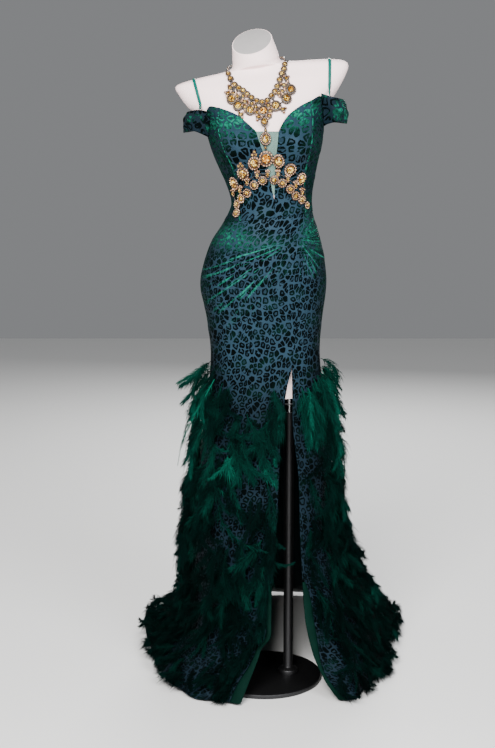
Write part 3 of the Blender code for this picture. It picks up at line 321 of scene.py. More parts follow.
def surface(rows, turn, level, cups=1.0, folds=True):
    """Points of a lofted surface. turn is 0 at the front, 90 at +X and 180 at the back."""
    turn, level = np.broadcast_arrays(np.asarray(turn, float), np.asarray(level, float))
    at, cx, cy, half, front, back, square, slope_x, slope_y = np.moveaxis(
        eased(rows, level), -1, 0)
    side, ahead = np.sin(np.radians(turn)), np.cos(np.radians(turn))
    x = half * signed(side, 2 / square)
    y = -np.where(ahead > 0, front, back) * signed(ahead, 2 / square)
    z = at + slope_x * x + slope_y * y
    x, y = x + cx, y + cy
    proud = sum(np.exp(-((x - c) / BUST_WIDE) ** 2 - ((z - BUST_LEVEL) / BUST_HIGH) ** 2)
                for c in (-BUST_X, BUST_X))
    proud = proud * BUST_PROUD * cups * np.sqrt(np.maximum(ahead, 0))
    if folds:
        reach = np.maximum(0, 1 - level / FLUTES_HIGH)
        flute = reach ** FLUTES_FADE * eased(FLUTES, turn)[..., 1]
        out = folds_at(FOLDS, x, z, turn) + flute
        x, y = x + side * out, y - ahead * out
    return np.stack([x, y - proud, z], -1)


def gown(turn, level):
    return surface(GOWN, turn, level)


def body(turn, level):
    return surface(FORM, turn, level, FORM_BUST, False)


# How far on each side of a place its normal is measured: level, and degrees of turn
NEAR_LEVEL = 0.002
NEAR_TURN = 0.4


def normals(shape, turn, level):
    up = shape(turn, level + NEAR_LEVEL) - shape(turn, np.maximum(level - NEAR_LEVEL, HEM))
    return unit(np.cross(shape(turn + NEAR_TURN, level) - shape(turn - NEAR_TURN, level), up))


def lifted(shape, turn, level, out):
    """Points of a surface, moved out along its normal."""
    turn, level = np.broadcast_arrays(np.asarray(turn, float), np.asarray(level, float))
    return shape(turn, level) + normals(shape, turn, level) * np.asarray(out, float)[..., None]


def turn_of(x, rows, level, behind=False):
    """Turn at which a section's front, or its back, passes x."""
    found = np.moveaxis(eased(rows, level), -1, 0)
    share = np.clip((x - found[1]) / found[3], -1, 1)
    turn = np.degrees(np.arcsin(signed(share, found[6] / 2)))
    return np.copysign(180.0, turn) - turn if behind else turn


def on_front(x, z, rows=GOWN):
    """Turn and level where a surface's front passes x and z."""
    x, level = np.asarray(x, float), np.asarray(z, float)
    for _ in range(8):
        turn = turn_of(x, rows, level)
        at, cx, cy, half, front, back, square, slope_x, slope_y = np.moveaxis(
            eased(rows, level), -1, 0)
        ring = (at + slope_x * half * signed(np.sin(np.radians(turn)), 2 / square)
                - slope_y * front * signed(np.cos(np.radians(turn)), 2 / square))
        level = level + z - ring
    return turn, level


def along_points(points, share):
    """Points on a smooth curve through a few, at shares of the few's own lengths."""
    points = np.asarray(points, float)
    lengths = lengths_along(points)
    return eased(np.column_stack([lengths / lengths[-1], points]), share)[..., 1:]


def smooth_run(points, count):
    return along_points(points, np.linspace(0, 1, count))


def wave_noise(p, scale, seed, count=7):
    """Smooth noise between about -1 and 1, as a sum of waves."""
    rng = np.random.default_rng(seed)
    total = np.zeros(p.shape[:-1])
    for _ in range(count):
        way = rng.normal(size=p.shape[-1])
        way *= rng.uniform(0.6, 1.6) / np.linalg.norm(way) / scale
        total += np.sin(p @ way * 2 * np.pi + rng.uniform(0, 6.28))
    return total / math.sqrt(count)


# Meshes

def build(name, points, faces, materials, slots=None, smooth=True, maps=None, values=None):
    """An object from arrays. maps are UVs per face corner, values are numbers per vertex."""
    faces = [np.asarray(f, np.int32) for f in faces if len(f)]
    mesh = bpy.data.meshes.new(name)
    points = np.ascontiguousarray(np.asarray(points, np.float32).reshape(-1, 3))
    mesh.vertices.add(len(points))
    mesh.vertices.foreach_set("co", points.ravel())
    corners = np.concatenate([f.ravel() for f in faces])
    sizes = np.concatenate([np.full(len(f), f.shape[1]) for f in faces])
    mesh.loops.add(len(corners))
    mesh.loops.foreach_set("vertex_index", corners)
    mesh.polygons.add(len(sizes))
    mesh.polygons.foreach_set("loop_start", np.concatenate([[0], np.cumsum(sizes)[:-1]]))
    if slots is not None:
        mesh.polygons.foreach_set("material_index", np.asarray(slots, np.int32))
    mesh.update(calc_edges=True)
    for key, uv in (maps or {}).items():
        layer = mesh.uv_layers.new(name=key)
        layer.data.foreach_set("uv", np.ascontiguousarray(uv, np.float32).ravel())
    for key, value in (values or {}).items():
        mesh.attributes.new(key, "FLOAT", "POINT").data.foreach_set(
            "value", np.ascontiguousarray(value, np.float32).ravel())
    for material in materials:
        mesh.materials.append(material)
    if smooth:
        mesh.shade_smooth()
    made = bpy.data.objects.new(name, mesh)
    bpy.context.scene.collection.objects.link(made)
    return made


def grid_faces(rows, columns, ring=False):
    grid = np.arange(rows * columns).reshape(rows, columns)
    if ring:
        grid = np.hstack([grid, grid[:, :1]])
    a, b, c, d = grid[:-1, :-1], grid[:-1, 1:], grid[1:, 1:], grid[1:, :-1]
    return np.stack([a, b, c, d], -1).reshape(-1, 4)


# Where a shell lies across its map for baking: its outer face ends, its inner face starts
# and how wide it is, and the rim's two edges
BAKE_OUTER = 0.66
BAKE_INNER = (0.68, 0.29)
BAKE_RIM = (0.980, 0.998)


def shell(name, outer, inner, materials, cloth, values=None):
    """A closed wall of cloth between two grids, rows from low to high, columns by turn."""
    rows, columns = outer.shape[:2]
    size = rows * columns
    front = grid_faces(rows, columns)
    back = front[:, ::-1] + size
    grid = np.arange(size).reshape(rows, columns)
    border = np.concatenate([grid[0], grid[1:, -1], grid[-1, -2::-1], grid[-2:0:-1, 0]])
    after = np.roll(border, -1)
    rim = np.stack([after, border, border + size, after + size], -1)
    u, v = np.meshgrid(np.linspace(0, 1, columns), np.linspace(0, 1, rows))
    flat = np.stack([u, v], -1).reshape(-1, 2)
    cloth = cloth.reshape(-1, 2)
    along = np.linspace(0, 1, len(border) + 1)
    near, far = BAKE_RIM
    strip = np.stack([np.stack([np.full(len(border), s), t], -1) for s, t in (
        (near, along[1:]), (near, along[:-1]), (far, along[:-1]), (far, along[1:]))], 1)
    start, width = BAKE_INNER
    bake = np.concatenate([
        (flat[front] * (BAKE_OUTER, 1)).reshape(-1, 2),
        (flat[front[:, ::-1]] * (width, 1) + (start, 0)).reshape(-1, 2), strip.reshape(-1, 2)])
    laid = np.concatenate([cloth[front].reshape(-1, 2), cloth[front[:, ::-1]].reshape(-1, 2),
                           cloth[np.stack([after, border, border, after], -1)].reshape(-1, 2)])
    slots = np.concatenate([np.zeros(len(front)), np.ones(len(back) + len(rim))])
    points = np.concatenate([outer.reshape(-1, 3), inner.reshape(-1, 3)])
    return build(name, points, [front, back, rim], materials, slots,
                 maps={"Cloth": laid, "OFBake": bake},
                 values={key: np.tile(value.ravel(), 2) for key, value in (values or {}).items()})


def tube(points, radius, sides):
    """Points and faces of a round bar along a run of points."""
    count = len(points)
    way = unit(np.gradient(points, axis=0))
    helper = np.where(np.abs(way[:, :1]) > 0.8, (0, 0, 1), (1, 0, 0))
    across = unit(np.cross(way, helper))
    up = np.cross(way, across)
    angle = np.linspace(0, 2 * np.pi, sides, endpoint=False)
    rings = points[:, None] + radius * (across[:, None] * np.cos(angle)[None, :, None]
                                        + up[:, None] * np.sin(angle)[None, :, None])
    caps = [np.arange(sides)[None, ::-1], np.arange(sides)[None] + (count - 1) * sides]
    return rings.reshape(-1, 3), [grid_faces(count, sides, ring=True), *caps]


# A face's width in the tone map, and the map's rows, one for each slot
TONE_WIDE = 0.004
TONE_ROWS = 8


class Heap:
    """Gathers many small meshes into one, with a slot and a tone for every face."""

    def __init__(self):
        self.points, self.faces, self.slots, self.tones, self.count = [], {}, {}, {}, 0

    def add(self, points, faces, slot, tone=0.5):
        for group in faces:
            group = np.asarray(group, np.int64).reshape(len(group), -1)
            key = group.shape[1]
            self.faces.setdefault(key, []).append(group + self.count)
            self.slots.setdefault(key, []).append(np.full(len(group), slot))
            self.tones.setdefault(key, []).append(np.broadcast_to(tone, len(group)))
        self.points.append(np.asarray(points, float).reshape(-1, 3))
        self.count += len(self.points[-1])

    def object(self, name, materials):
        keys = sorted(self.faces)
        faces = [np.concatenate(self.faces[k]) for k in keys]
        slots = np.concatenate([np.concatenate(self.slots[k]) for k in keys])
        tones = np.concatenate([np.concatenate(self.tones[k]) for k in keys])
        sizes = np.concatenate([np.full(len(f), k) for f, k in zip(faces, keys)])
        uv = []
        for k, f in zip(keys, faces):
            angle = np.linspace(0, 2 * np.pi, k, endpoint=False)
            uv.append(np.tile(np.stack([np.cos(angle), np.sin(angle)], -1), (len(f), 1)))
        spread = np.concatenate(uv) * TONE_WIDE
        tone = np.repeat(tones, sizes)
        slot = np.repeat(slots, sizes)
        flat = np.stack([tone, (slot + 0.5) / TONE_ROWS], -1) + spread
        return build(name, np.concatenate(self.points), faces, materials, slots, False,
                     maps={"Tone": flat, "OFBake": flat})


# Materials

class Nodes:
    """Short ways to add and join shader nodes."""

    def __init__(self, name):
        self.material = bpy.data.materials.new(name)
        self.material.use_nodes = True
        self.nodes = self.material.node_tree.nodes
        self.links = self.material.node_tree.links
        self.shader = self.nodes["Principled BSDF"]

    def set(self, **values):
        names = {"color": "Base Color", "roughness": "Roughness", "metallic": "Metallic",
                 "alpha": "Alpha", "specular": "Specular IOR Level", "normal": "Normal"}
        for key, value in values.items():
            self.put(self.shader.inputs[names[key]], value)

    def put(self, socket, value):
        if isinstance(value, bpy.types.NodeSocket):
            self.links.new(value, socket)
        elif isinstance(value, (tuple, list)) and socket.type == "RGBA":
            socket.default_value = (*value, 1.0)[:4]
        else:
            socket.default_value = value

    def add(self, kind, inputs=(), out=0, **settings):
        node = self.nodes.new(kind)
        for key, value in settings.items():
            setattr(node, key, value)
        for key, value in dict(inputs).items():
            self.put(node.inputs[key], value)
        return node.outputs[out]

    def math(self, operation, a, b=0.0, clamp=False):
        return self.add("ShaderNodeMath", {0: a, 1: b}, operation=operation, use_clamp=clamp)

    def plus(self, a, b):
        return self.math("ADD", a, b)

    def minus(self, a, b):
        return self.math("SUBTRACT", a, b)

    def times(self, a, b, clamp=False):
        return self.math("MULTIPLY", a, b, clamp)

    def vector(self, operation, a, b):
        return self.add("ShaderNodeVectorMath", {0: a, 1: b}, operation=operation)

    def scaled(self, vector, scale):
        return self.add("ShaderNodeVectorMath", {0: vector, "Scale": scale}, operation="SCALE")

    def number(self, name):
        """A number that the mesh carries for every vertex."""
        return self.add("ShaderNodeAttribute", (), "Fac", attribute_name=name)

    def place(self):
        return self.add("ShaderNodeTexCoord", (), "Object")

    def step(self, value, low, high):
        return self.add("ShaderNodeMapRange", {0: value, 1: low, 2: high, 3: 0.0, 4: 1.0},
                        interpolation_type="SMOOTHSTEP")

    def mix(self, share, a, b):
        node = self.nodes.new("ShaderNodeMix")
        node.data_type = "RGBA"
        self.put(node.inputs[0], share)
        self.put(node.inputs[6], a)
        self.put(node.inputs[7], b)
        return node.outputs[2]

    def noise(self, at, scale, detail=2.0, out="Fac"):
        return self.add("ShaderNodeTexNoise", {"Vector": at, "Scale": scale, "Detail": detail},
                        out)

    def spread(self, value, low, high, start=0.0, end=1.0):
        """A value moved from one range to another."""
        return self.add("ShaderNodeMapRange", {0: value, 1: start, 2: end, 3: low, 4: high})

    def ramp(self, value, stops):
        """A colour that follows a value, from stops of place and colour."""
        node = self.nodes.new("ShaderNodeValToRGB")
        self.put(node.inputs[0], value)
        marks = node.color_ramp.elements
        for mark, (place, colour) in ((marks[0], stops[0]), (marks[1], stops[-1])):
            mark.position, mark.color = place, (*colour, 1)
        for place, colour in stops[1:-1]:
            marks.new(place).color = (*colour, 1)
        return node.outputs[0]

    def uv(self, name):
        return self.add("ShaderNodeUVMap", uv_map=name)

    def bump(self, height, distance, strength):
        return self.add("ShaderNodeBump", {"Height": height, "Distance": distance,
                                           "Strength": strength})


# Rosettes in the cells of a pattern. The cells are pushed about by noise: its scale and
# amount in cells, and its start. A spot is a cell without its edge and its corners, and
# most spots open into rings that have gaps. Steps are soft, from one value to another.
CELLS_PUSHED = ((0.55, 0.50, 0.0), (2.2, 0.22, 3.0))
CELLS_RANDOM = 0.90
CORNER_FROM = 0.36
CORNER_CUT = 0.60
EDGE_UNEVEN = 0.12
EDGE_STEP = (0.026, 0.056)
SIDE_FULLER = 0.035
RING_VARIES = 0.09
RING_STEP = 0.05
RING_PICK = (0.14, 0.20)
GAP_STEP = (0.640, 0.670)
GAP_PICK = (0.30, 0.34)
RIDGE_STEP = (0.570, 0.640)
VALLEY_STEP = (0.440, 0.340)
RAY_REACH = 9.0

SLATE = ((0.0095, 0.0240, 0.0375), (0.0172, 0.0385, 0.0580))
# Painted shade on the ground
SLATE_PAINTED_SHADE = (0.0040, 0.0085, 0.0130)
# Painted sheen on the ground, where the pile is painted green
SLATE_PAINTED_SHEEN = (0.0040, 0.0200, 0.0215)
RING_FLOOR = (0.0040, 0.0110, 0.0160)
# The pile's own dark colour, and the green sheen painted on it where it would catch the light
PILE_DARK = (0.0001, 0.0011, 0.0013)
PILE_PAINTED_SHEEN = (0.0090, 0.1250, 0.0800)
# Painted shade in the thin folds' valleys and a painted highlight on their ridges
VALLEY_PAINTED_SHADE = (0.0006, 0.0040, 0.0050)
RIDGE_PAINTED_HIGHLIGHT = (0.0090, 0.1500, 0.0980)


def leopard(name, spots_per_metre, open_at, painted_sheen_gain=1.0):
    """Velvet rosettes burnt out of slate blue satin, with a green sheen painted on the pile and the
    ground, painted shade on the ground, and a painted highlight and painted shade on the thin
    folds.

    open_at is how far inside its edge a spot opens into a ring.
    """
    n = Nodes(name)
    at = n.uv("Cloth")
    moved = at
    for scale, amount, seed in CELLS_PUSHED:
        shifted = n.vector("ADD", at, (seed, seed, 0))
        push = n.noise(shifted, spots_per_metre * scale, 1, "Color")
        push = n.scaled(n.vector("SUBTRACT", push, (0.5, 0.5, 0.5)), amount / spots_per_metre)
        moved = n.vector("ADD", moved, push)
    cells = {"Vector": moved, "Scale": spots_per_metre, "Randomness": CELLS_RANDOM}
    edge = n.add("ShaderNodeTexVoronoi", cells, "Distance", feature="DISTANCE_TO_EDGE",
                 voronoi_dimensions="2D")
    centre = n.add("ShaderNodeTexVoronoi", cells, "Distance", voronoi_dimensions="2D")
    tint = n.add("ShaderNodeTexVoronoi", cells, "Color", voronoi_dimensions="2D")
    pick = n.add("ShaderNodeSeparateColor", {0: tint}, 0)
    corner = n.times(n.math("MAXIMUM", n.minus(centre, CORNER_FROM), 0.0), CORNER_CUT)
    uneven = n.times(n.minus(n.noise(at, spots_per_metre * 2.1, 1), 0.5), EDGE_UNEVEN)
    # Painted shade: a vertex number that darkens the ground, and makes the spots a little fuller
    # there
    painted_shade = n.number("painted_shade")
    rounded = n.plus(n.plus(n.minus(edge, corner), uneven), n.times(painted_shade, SIDE_FULLER))
    spot = n.step(rounded, *EDGE_STEP)
    hollow = n.minus(rounded, n.times(pick, RING_VARIES))
    hole = n.times(n.step(hollow, open_at, open_at + RING_STEP), n.step(pick, *RING_PICK))
    gap = n.times(n.step(n.noise(at, spots_per_metre * 1.8, 0), *GAP_STEP),
                  n.step(pick, *GAP_PICK))
    pile = n.times(spot, n.minus(1.0, n.math("MAXIMUM", hole, gap)))

    # The thin folds are noise drawn out along the rays that the cloth's numbers give.
    # Their ridges get a painted green highlight and their valleys painted shade, and both go into
    # the bump.
    drape = n.number("drape")
    spoke = n.add("ShaderNodeCombineXYZ", {0: n.number("ray"),
                                           1: n.times(n.number("reach"), RAY_REACH)})
    spoke = n.noise(spoke, 1.0, 1.0)
    ridge = n.times(n.step(spoke, *RIDGE_STEP), drape)
    valley = n.times(n.step(spoke, *VALLEY_STEP), drape)

    # Painted sheen: the velvet is painted green where a vertex number says it catches the light,
    # broken up by noise
    patchy = n.spread(n.noise(at, 130.0, 4), 0.16, 1.35, 0.36, 0.62)
    painted_sheen = n.times(n.times(n.number("painted_sheen"), patchy), painted_sheen_gain, clamp=True)
    painted_ridge_highlight = n.times(ridge, patchy, clamp=True)
    ground = n.mix(n.noise(at, 22.0, 2), *SLATE)
    # Painted shade on the ground
    ground = n.mix(painted_shade, ground, SLATE_PAINTED_SHADE)
    ground = n.mix(n.times(painted_sheen, 0.45), ground, SLATE_PAINTED_SHEEN)
    ground = n.mix(n.times(hole, 0.50), ground, RING_FLOOR)
    colour = n.mix(pile, ground, n.mix(painted_sheen, PILE_DARK, PILE_PAINTED_SHEEN))
    # Painted shade in the valleys and a painted highlight on the ridges
    colour = n.mix(n.times(valley, 0.75), colour, VALLEY_PAINTED_SHADE)
    colour = n.mix(n.times(painted_ridge_highlight, 0.90), colour, RIDGE_PAINTED_HIGHLIGHT)
    weave = n.noise(at, 2600.0, 1)
    high = n.plus(n.times(pile, 0.8), n.times(weave, 0.2))
    high = n.plus(high, n.times(n.minus(ridge, valley), 1.6))
    n.set(color=colour, roughness=n.spread(pile, 0.45, 0.90), specular=0.03,
          normal=n.bump(high, 0.0006, 0.6))
    return n.material


def satin(name, colour, dark, roughness, shine=0.10):
    """Plain satin with a faint weave and slow changes of tone."""
    n = Nodes(name)
    at = n.uv("Cloth")
    fine = n.add("ShaderNodeTexWave", {"Vector": at, "Scale": 1500.0, "Distortion": 1.5},
                 "Fac", bands_direction="DIAGONAL")
    high = n.plus(n.times(fine, 0.3), n.noise(at, 160.0, 3))
    n.set(color=n.mix(n.noise(at, 30.0, 3), dark, colour), roughness=roughness, specular=shine,
          normal=n.bump(high, 0.0006, 0.5))
    return n.material


def toned(name, stops, roughness, metallic=0.0, specular=0.5):
    """A material whose colour follows the tone that each face was given. Random tones on the facets
    of stones and crystals are painted glints and dark facets.
    """
    n = Nodes(name)
    tone = n.add("ShaderNodeSeparateXYZ", {0: n.uv("Tone")}, 0)
    n.set(color=n.ramp(tone, stops), roughness=roughness, metallic=metallic, specular=specular)
    return n.material


def feather_material():
    """Plumes take their colour from the map's first way and get lighter along its second, which
    paints shade and light along each barb and shaft.
    """
    n = Nodes("emerald_plume")
    tone = n.add("ShaderNodeSeparateXYZ", {0: n.uv("Tone")}, 0)
    colour = n.ramp(tone, ((0.0, (0.0001, 0.0014, 0.0013)), (0.45, (0.0001, 0.0070, 0.0056)),
                           (0.75, (0.0002, 0.028, 0.0190)), (1.0, (0.0010, 0.105, 0.066))))
    shade = n.add("ShaderNodeMath", {0: tone.node.outputs[1], 1: 0.90, 2: 0.22},
                  operation="MULTIPLY_ADD")
    n.set(color=n.scaled(colour, shade), roughness=0.80, specular=0.02)
    return n.material


def form_material():
    n = Nodes("form_shell_paint")
    at = n.place()
    n.set(color=n.mix(n.noise(at, 9.0, 3), (0.930, 0.728, 0.716), (0.960, 0.778, 0.766)),
          roughness=0.55, specular=0.25,
          normal=n.bump(n.noise(at, 420.0, 3), 0.0003, 0.25))
    return n.material


def cap_material():
    n = Nodes("form_cut_face")
    n.set(color=n.mix(n.noise(n.place(), 40.0, 3), (0.300, 0.290, 0.288),
                      (0.350, 0.335, 0.330)), roughness=0.60)
    return n.material


def steel_material(name, colour, smooth, rough):
    n = Nodes(name)
    fine = n.noise(n.place(), 900.0, 2)
    n.set(color=colour, metallic=1.0, roughness=n.spread(fine, smooth, rough))
    return n.material


def mesh_material():
    n = Nodes("sheer_net")
    net = n.add("ShaderNodeTexVoronoi", {"Vector": n.uv("Cloth"), "Scale": 700.0}, "Distance",
                voronoi_dimensions="2D")
    colour = n.mix(n.step(net, 0.2, 0.6), (0.066, 0.132, 0.112), (0.120, 0.190, 0.165))
    n.set(color=colour, roughness=0.55, alpha=0.92, specular=0.2)
    return n.material


VELVET_BODICE = leopard("leopard_bodice", 50.0, 0.262, 1.1)
VELVET_SKIRT = leopard("leopard_skirt", 66.0, 0.300)
LINING = satin("lining_satin", (0.003, 0.014, 0.016), (0.001, 0.006, 0.007), 0.6)
FACING_SATIN = satin("facing_satin", (0.0010, 0.0150, 0.0100), (0.0003, 0.0066, 0.0046), 0.60,
                     shine=0.03)
STRAP_SATIN = satin("strap_satin", (0.005, 0.125, 0.100), (0.001, 0.048, 0.037), 0.34)
PLUME = feather_material()
FORM_PAINT = form_material()
FORM_CUT = cap_material()
STEEL = steel_material("polished_steel", (0.55, 0.55, 0.56), 0.12, 0.24)
DARK_STEEL = steel_material("darkened_steel", (0.050, 0.050, 0.052), 0.38, 0.55)
NET = mesh_material()
# The stones' and crystals' ramps run from dark facets up to painted glints
STONE = toned("amber_stone_cut", ((0.0, (0.014, 0.004, 0.001)), (0.35, (0.120, 0.042, 0.002)),
                                  (0.7, (0.360, 0.175, 0.009)), (1.0, (1.000, 0.760, 0.200))),
              0.10, specular=0.35)
ORANGE = toned("orange_stone_cut", ((0.0, (0.040, 0.008, 0.001)), (0.4, (0.210, 0.060, 0.003)),
                                    (0.75, (0.450, 0.190, 0.015)), (1.0, (1.000, 0.720, 0.240))),
               0.10, specular=0.35)
ROSE = toned("rose_crystal_rim", ((0.0, (0.022, 0.007, 0.003)), (0.5, (0.190, 0.085, 0.040)),
                                  (1.0, (0.740, 0.490, 0.330))), 0.22, 0.25)
SILVER = toned("dark_crystal_rim", ((0.0, (0.006, 0.005, 0.004)), (0.5, (0.075, 0.050, 0.034)),
                                    (1.0, (0.300, 0.215, 0.150))), 0.24, 0.25)
BACKING = toned("black_backing", ((0.0, (0.006, 0.006, 0.007)), (1.0, (0.030, 0.026, 0.024))),
                0.45)
# The jewels' materials by slot, and the slots' names
JEWEL_MATERIALS = (STONE, ROSE, BACKING, SILVER, ORANGE)
AMBER_SLOT, ROSE_SLOT, BLACK_SLOT, SILVER_SLOT, ORANGE_SLOT = range(len(JEWEL_MATERIALS))


# Cloth

def painted_sheen_at(points, turn, level):
    """How much painted green sheen the velvet gets at a place, from 0 to 1."""
    x, z = points[..., 0], points[..., 2]
    away = np.abs(turn)
    total = np.clip(1.2 - away / 100, 0, 1) * sum(
        amount * np.exp(-((x - cx) / wide) ** 2 - ((z - cz) / high) ** 2)
        for cx, cz, wide, high, amount in PAINTED_SHEEN_FRONT)
    sides = np.exp(-((away - 95) / 26) ** 2) * rising(level, 0.86, 0.1) * PAINTED_SHEEN_SIDES
    behind = rising(away, 90, 60) * sum(amount * np.exp(-((z - cz) / high) ** 2)
                                        for cz, high, amount in PAINTED_SHEEN_BACK)
    total = total + sides + behind
    total += PAINTED_SHEEN_NOISE * wave_noise(np.stack([x, z], -1), 0.07, 3)
    return np.clip(total, 0, 1)


def laid_out(points, scale_across=1.0, scale_up=1.0):
    """Cloth coordinates in metres: the way round each row and up each column."""
    across = np.linalg.norm(np.diff(points, axis=1), axis=2)
    across = np.concatenate([np.zeros((len(points), 1)), np.cumsum(across, 1)], 1)
    across -= across.mean(1, keepdims=True)
    up = np.linalg.norm(np.diff(points, axis=0), axis=2)
    up = np.concatenate([np.zeros((1, points.shape[1])), np.cumsum(up, 0)], 0)
    up = up.mean(1, keepdims=True) + 0 * across
    return np.stack([across * scale_across, up * scale_up], -1)


def share_steps(count, edge):
    """Shares from 0 to 1, with a close pair at each end for a pressed seam."""
    steps = np.linspace(0, 1, count + 1)
    return np.unique(np.concatenate([steps, [edge, 1 - edge]]))


def seam_dip(rows, columns, sides):
    """How far the outermost columns and rows sink into their seam."""
    dip = np.zeros((rows, columns))
    for side, edge in (("l", np.s_[:, 0]), ("r", np.s_[:, -1]), ("t", -1), ("b", 0)):
        if side in sides:
            dip[edge] = SEAM_DEEP
    return dip


def drape_at(turn, x, z):
    """Which ray from the gather a place is on, how far out, and how strong the folds are."""
    far_x, far_z = x - GATHER[0], z - GATHER[1]
    reach = np.hypot(far_x, far_z)
    ray = np.arctan2(far_x, -far_z)
    left = (np.exp(-((ray - FAN_LEFT[0]) / FAN_LEFT[1]) ** 4)
            * rising(reach, *FAN_LEFT_START) * falling(reach, *FAN_LEFT_END))
    right = (np.exp(-((ray - FAN_RIGHT[0]) / FAN_RIGHT[1]) ** 4)
             * falling(reach, *FAN_RIGHT_END))
    drape = np.where(ray < 0, left * FAN_LEFT_SHARE, right)
    ray = np.where(ray < 0, RAYS_LEFT * ray - RAYS_BEND * reach, RAYS_RIGHT * ray)
    return ray, reach, drape * falling(np.abs(turn), *FAN_SIDE_END)


def cloth_panel(name, node, turn, level, material, seams="lr", shift=0.0, scale=(1.0, 1.0),
                puckers=0.0, seam_glow=0.0, shade=0.0):
    """A panel of the gown from grids of turn and level."""
    base = gown(turn, level)
    x, z = base[..., 0], base[..., 2]
    away = np.abs(turn)
    relief = folds_at(CREASES, x, z, turn)
    low = np.clip(1 - level / LOW_WAVES_TOP, 0, 1)
    spot = np.stack([np.sin(np.radians(turn)), np.cos(np.radians(turn)), level * 0.8], -1)
    relief = relief + low * LOW_WAVES * (1 + wave_noise(spot, 0.16, 11)) * 0.5
    relief = relief + FINE_WAVES * (1 + wave_noise(spot, 0.05, 12)) * 0.5
    if puckers:
        relief = relief + puckers * (1 + np.sin(turn * 2.1 + 3 * np.sin(level * 60))) * 0.5
    relief = relief - seam_dip(*turn.shape, seams)
    face = normals(gown, turn, level)
    outer = base + face * (WALL + relief)[..., None]
    inner = base + face * np.maximum(relief, 0)[..., None]

    across = laid_out(outer)[..., 0]
    near_seam = np.minimum(across - across[:, :1], across[:, -1:] - across)
    off_centre = rising(np.abs(x - MESH_POINT[0]), 0.035, 0.010)
    # Painted green sheen where the velvet would catch the light
    painted_sheen = painted_sheen_at(outer, turn, level)
    # Painted highlight along each seam's edge, away from the sheer panel's point
    painted_sheen = painted_sheen + seam_glow * off_centre * np.exp(-(near_seam / SEAM_GLOW_WIDE) ** 2)
    # Painted shade: darker round the sides, low on the skirt and on the side panels
    round_side = rising(away, 38, 30) * falling(away, 140, 30)
    painted_shade = np.clip(shade + 0.80 * round_side + falling(level, 0.87, 0.14) * 0.8, 0, 0.9)
    ray, reach, drape = drape_at(turn, x, z)
    values = {"painted_sheen": np.clip(painted_sheen, 0, 1), "painted_shade": painted_shade, "ray": ray, "reach": reach, "drape": drape}
    cloth, rests_on = laid_out(outer, *scale), ["form_torso", "stand_base"]
    if level.min() >= WAIST:
        cloth = np.stack([np.radians(turn) * GOWN_RADIUS, level * GOWN_STRETCH], -1)
        rests_on = ["form_torso"]
    cloth_piece(name, node, outer, inner, (material, LINING),
                cloth + shift, values)


def take_place(made, node):
    """Attaches a finished piece to the root and hides the node that it replaces."""
    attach(made, "root")
    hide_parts(node)


# The least width or length of a piece of cloth, and the least share of its flat size
FLAT_LEAST = 0.010
AREA_LEAST = 0.3


def declare_sheet(outer):
    """Works out the flat size that a piece of cloth was cut to; nothing uses it."""
    across = np.linalg.norm(np.diff(outer, axis=1), axis=2).sum(1)
    up = np.linalg.norm(np.diff(outer, axis=0), axis=2).sum(0)
    a, b = outer[:-1, :-1], outer[1:, 1:]
    c, d = outer[:-1, 1:], outer[1:, :-1]
    area = float(np.linalg.norm(np.cross(b - a, d - c), axis=2).sum() / 2)
    wide, long = max(float(across.max()), FLAT_LEAST), max(float(up.max()), FLAT_LEAST)
    area = min(max(area, AREA_LEAST * wide * long), wide * long)


def cloth_piece(name, node, outer, inner, materials, cloth=None,
                values=None):
    """A closed piece of cloth in place of a node; its flat size is worked out but not passed on."""
    cloth = laid_out(outer) if cloth is None else cloth
    made = shell(name, outer, inner, materials, cloth, values)
    take_place(made, node)
    declare_sheet(outer)


def seam_line(points, v):
    """Turn and level along a bodice seam, as the frame's rows have it, smoothed between."""
    coarse = np.linspace(0, 1, BODICE_ROWS + 1)
    found = along_points(points, coarse)
    turn, level = on_front(found[:, 0], found[:, 1])
    turn[0], level[0] = on_front(*points[0])[0], WAIST
    return eased(np.column_stack([coarse, turn, level]), v)[:, 1:]


def centre_line(top, bow, v):
    """The centre seam up to the mesh panel's point, and then the panel's side."""
    coarse = np.linspace(0, 1, BODICE_ROWS + 1)
    share = (coarse[1:] - coarse[1]) / (1 - coarse[1])
    x = MESH_POINT[0] + (top[0] - MESH_POINT[0]) * share + bow * np.sin(np.pi * share) ** 2
    z = MESH_POINT[1] + (top[1] - MESH_POINT[1]) * share
    turn, level = on_front(x, z)
    turn = np.concatenate([[on_front(*CENTRE_WAIST)[0]], turn])
    level = np.concatenate([[WAIST], level])
    return np.stack([np.interp(v, coarse, turn), np.interp(v, coarse, level)], -1)


def level_at_waist(turn):
    return np.stack([turn, np.full_like(turn, WAIST)], -1)


def side_line(turn, top, v):
    return np.stack([np.full_like(v, turn), WAIST + (top - WAIST) * v], -1)


def stops_line(stops, u):
    return eased(np.array(stops, float), u)[:, 1:]


def coons(left, right, bottom, top, u, v):
    """Places of a panel between four edges."""
    u, v = u[None, :, None], v[:, None, None]
    across = left[:, None] * (1 - u) + right[:, None] * u
    upward = bottom[None] * (1 - v) + top[None] * v
    flat = ((bottom[:1, None] * (1 - u) + bottom[-1:, None] * u) * (1 - v)
            + (top[:1, None] * (1 - u) + top[-1:, None] * u) * v)
    return across + upward - flat


# The side fronts' puckers and painted shade, how much painted highlight a seam's edge gets, and how
# much less on the backs. Then the rows and columns of a bodice panel and of the sheer one.
PUCKERS = 0.0012
SIDE_SHADE = 0.60
SEAM_GLOW_FRONT = 0.8
SEAM_GLOW_BACK = 0.3
BODICE_UP = 44
BODICE_ACROSS = 30
MESH_UP = 40
MESH_ACROSS = 13


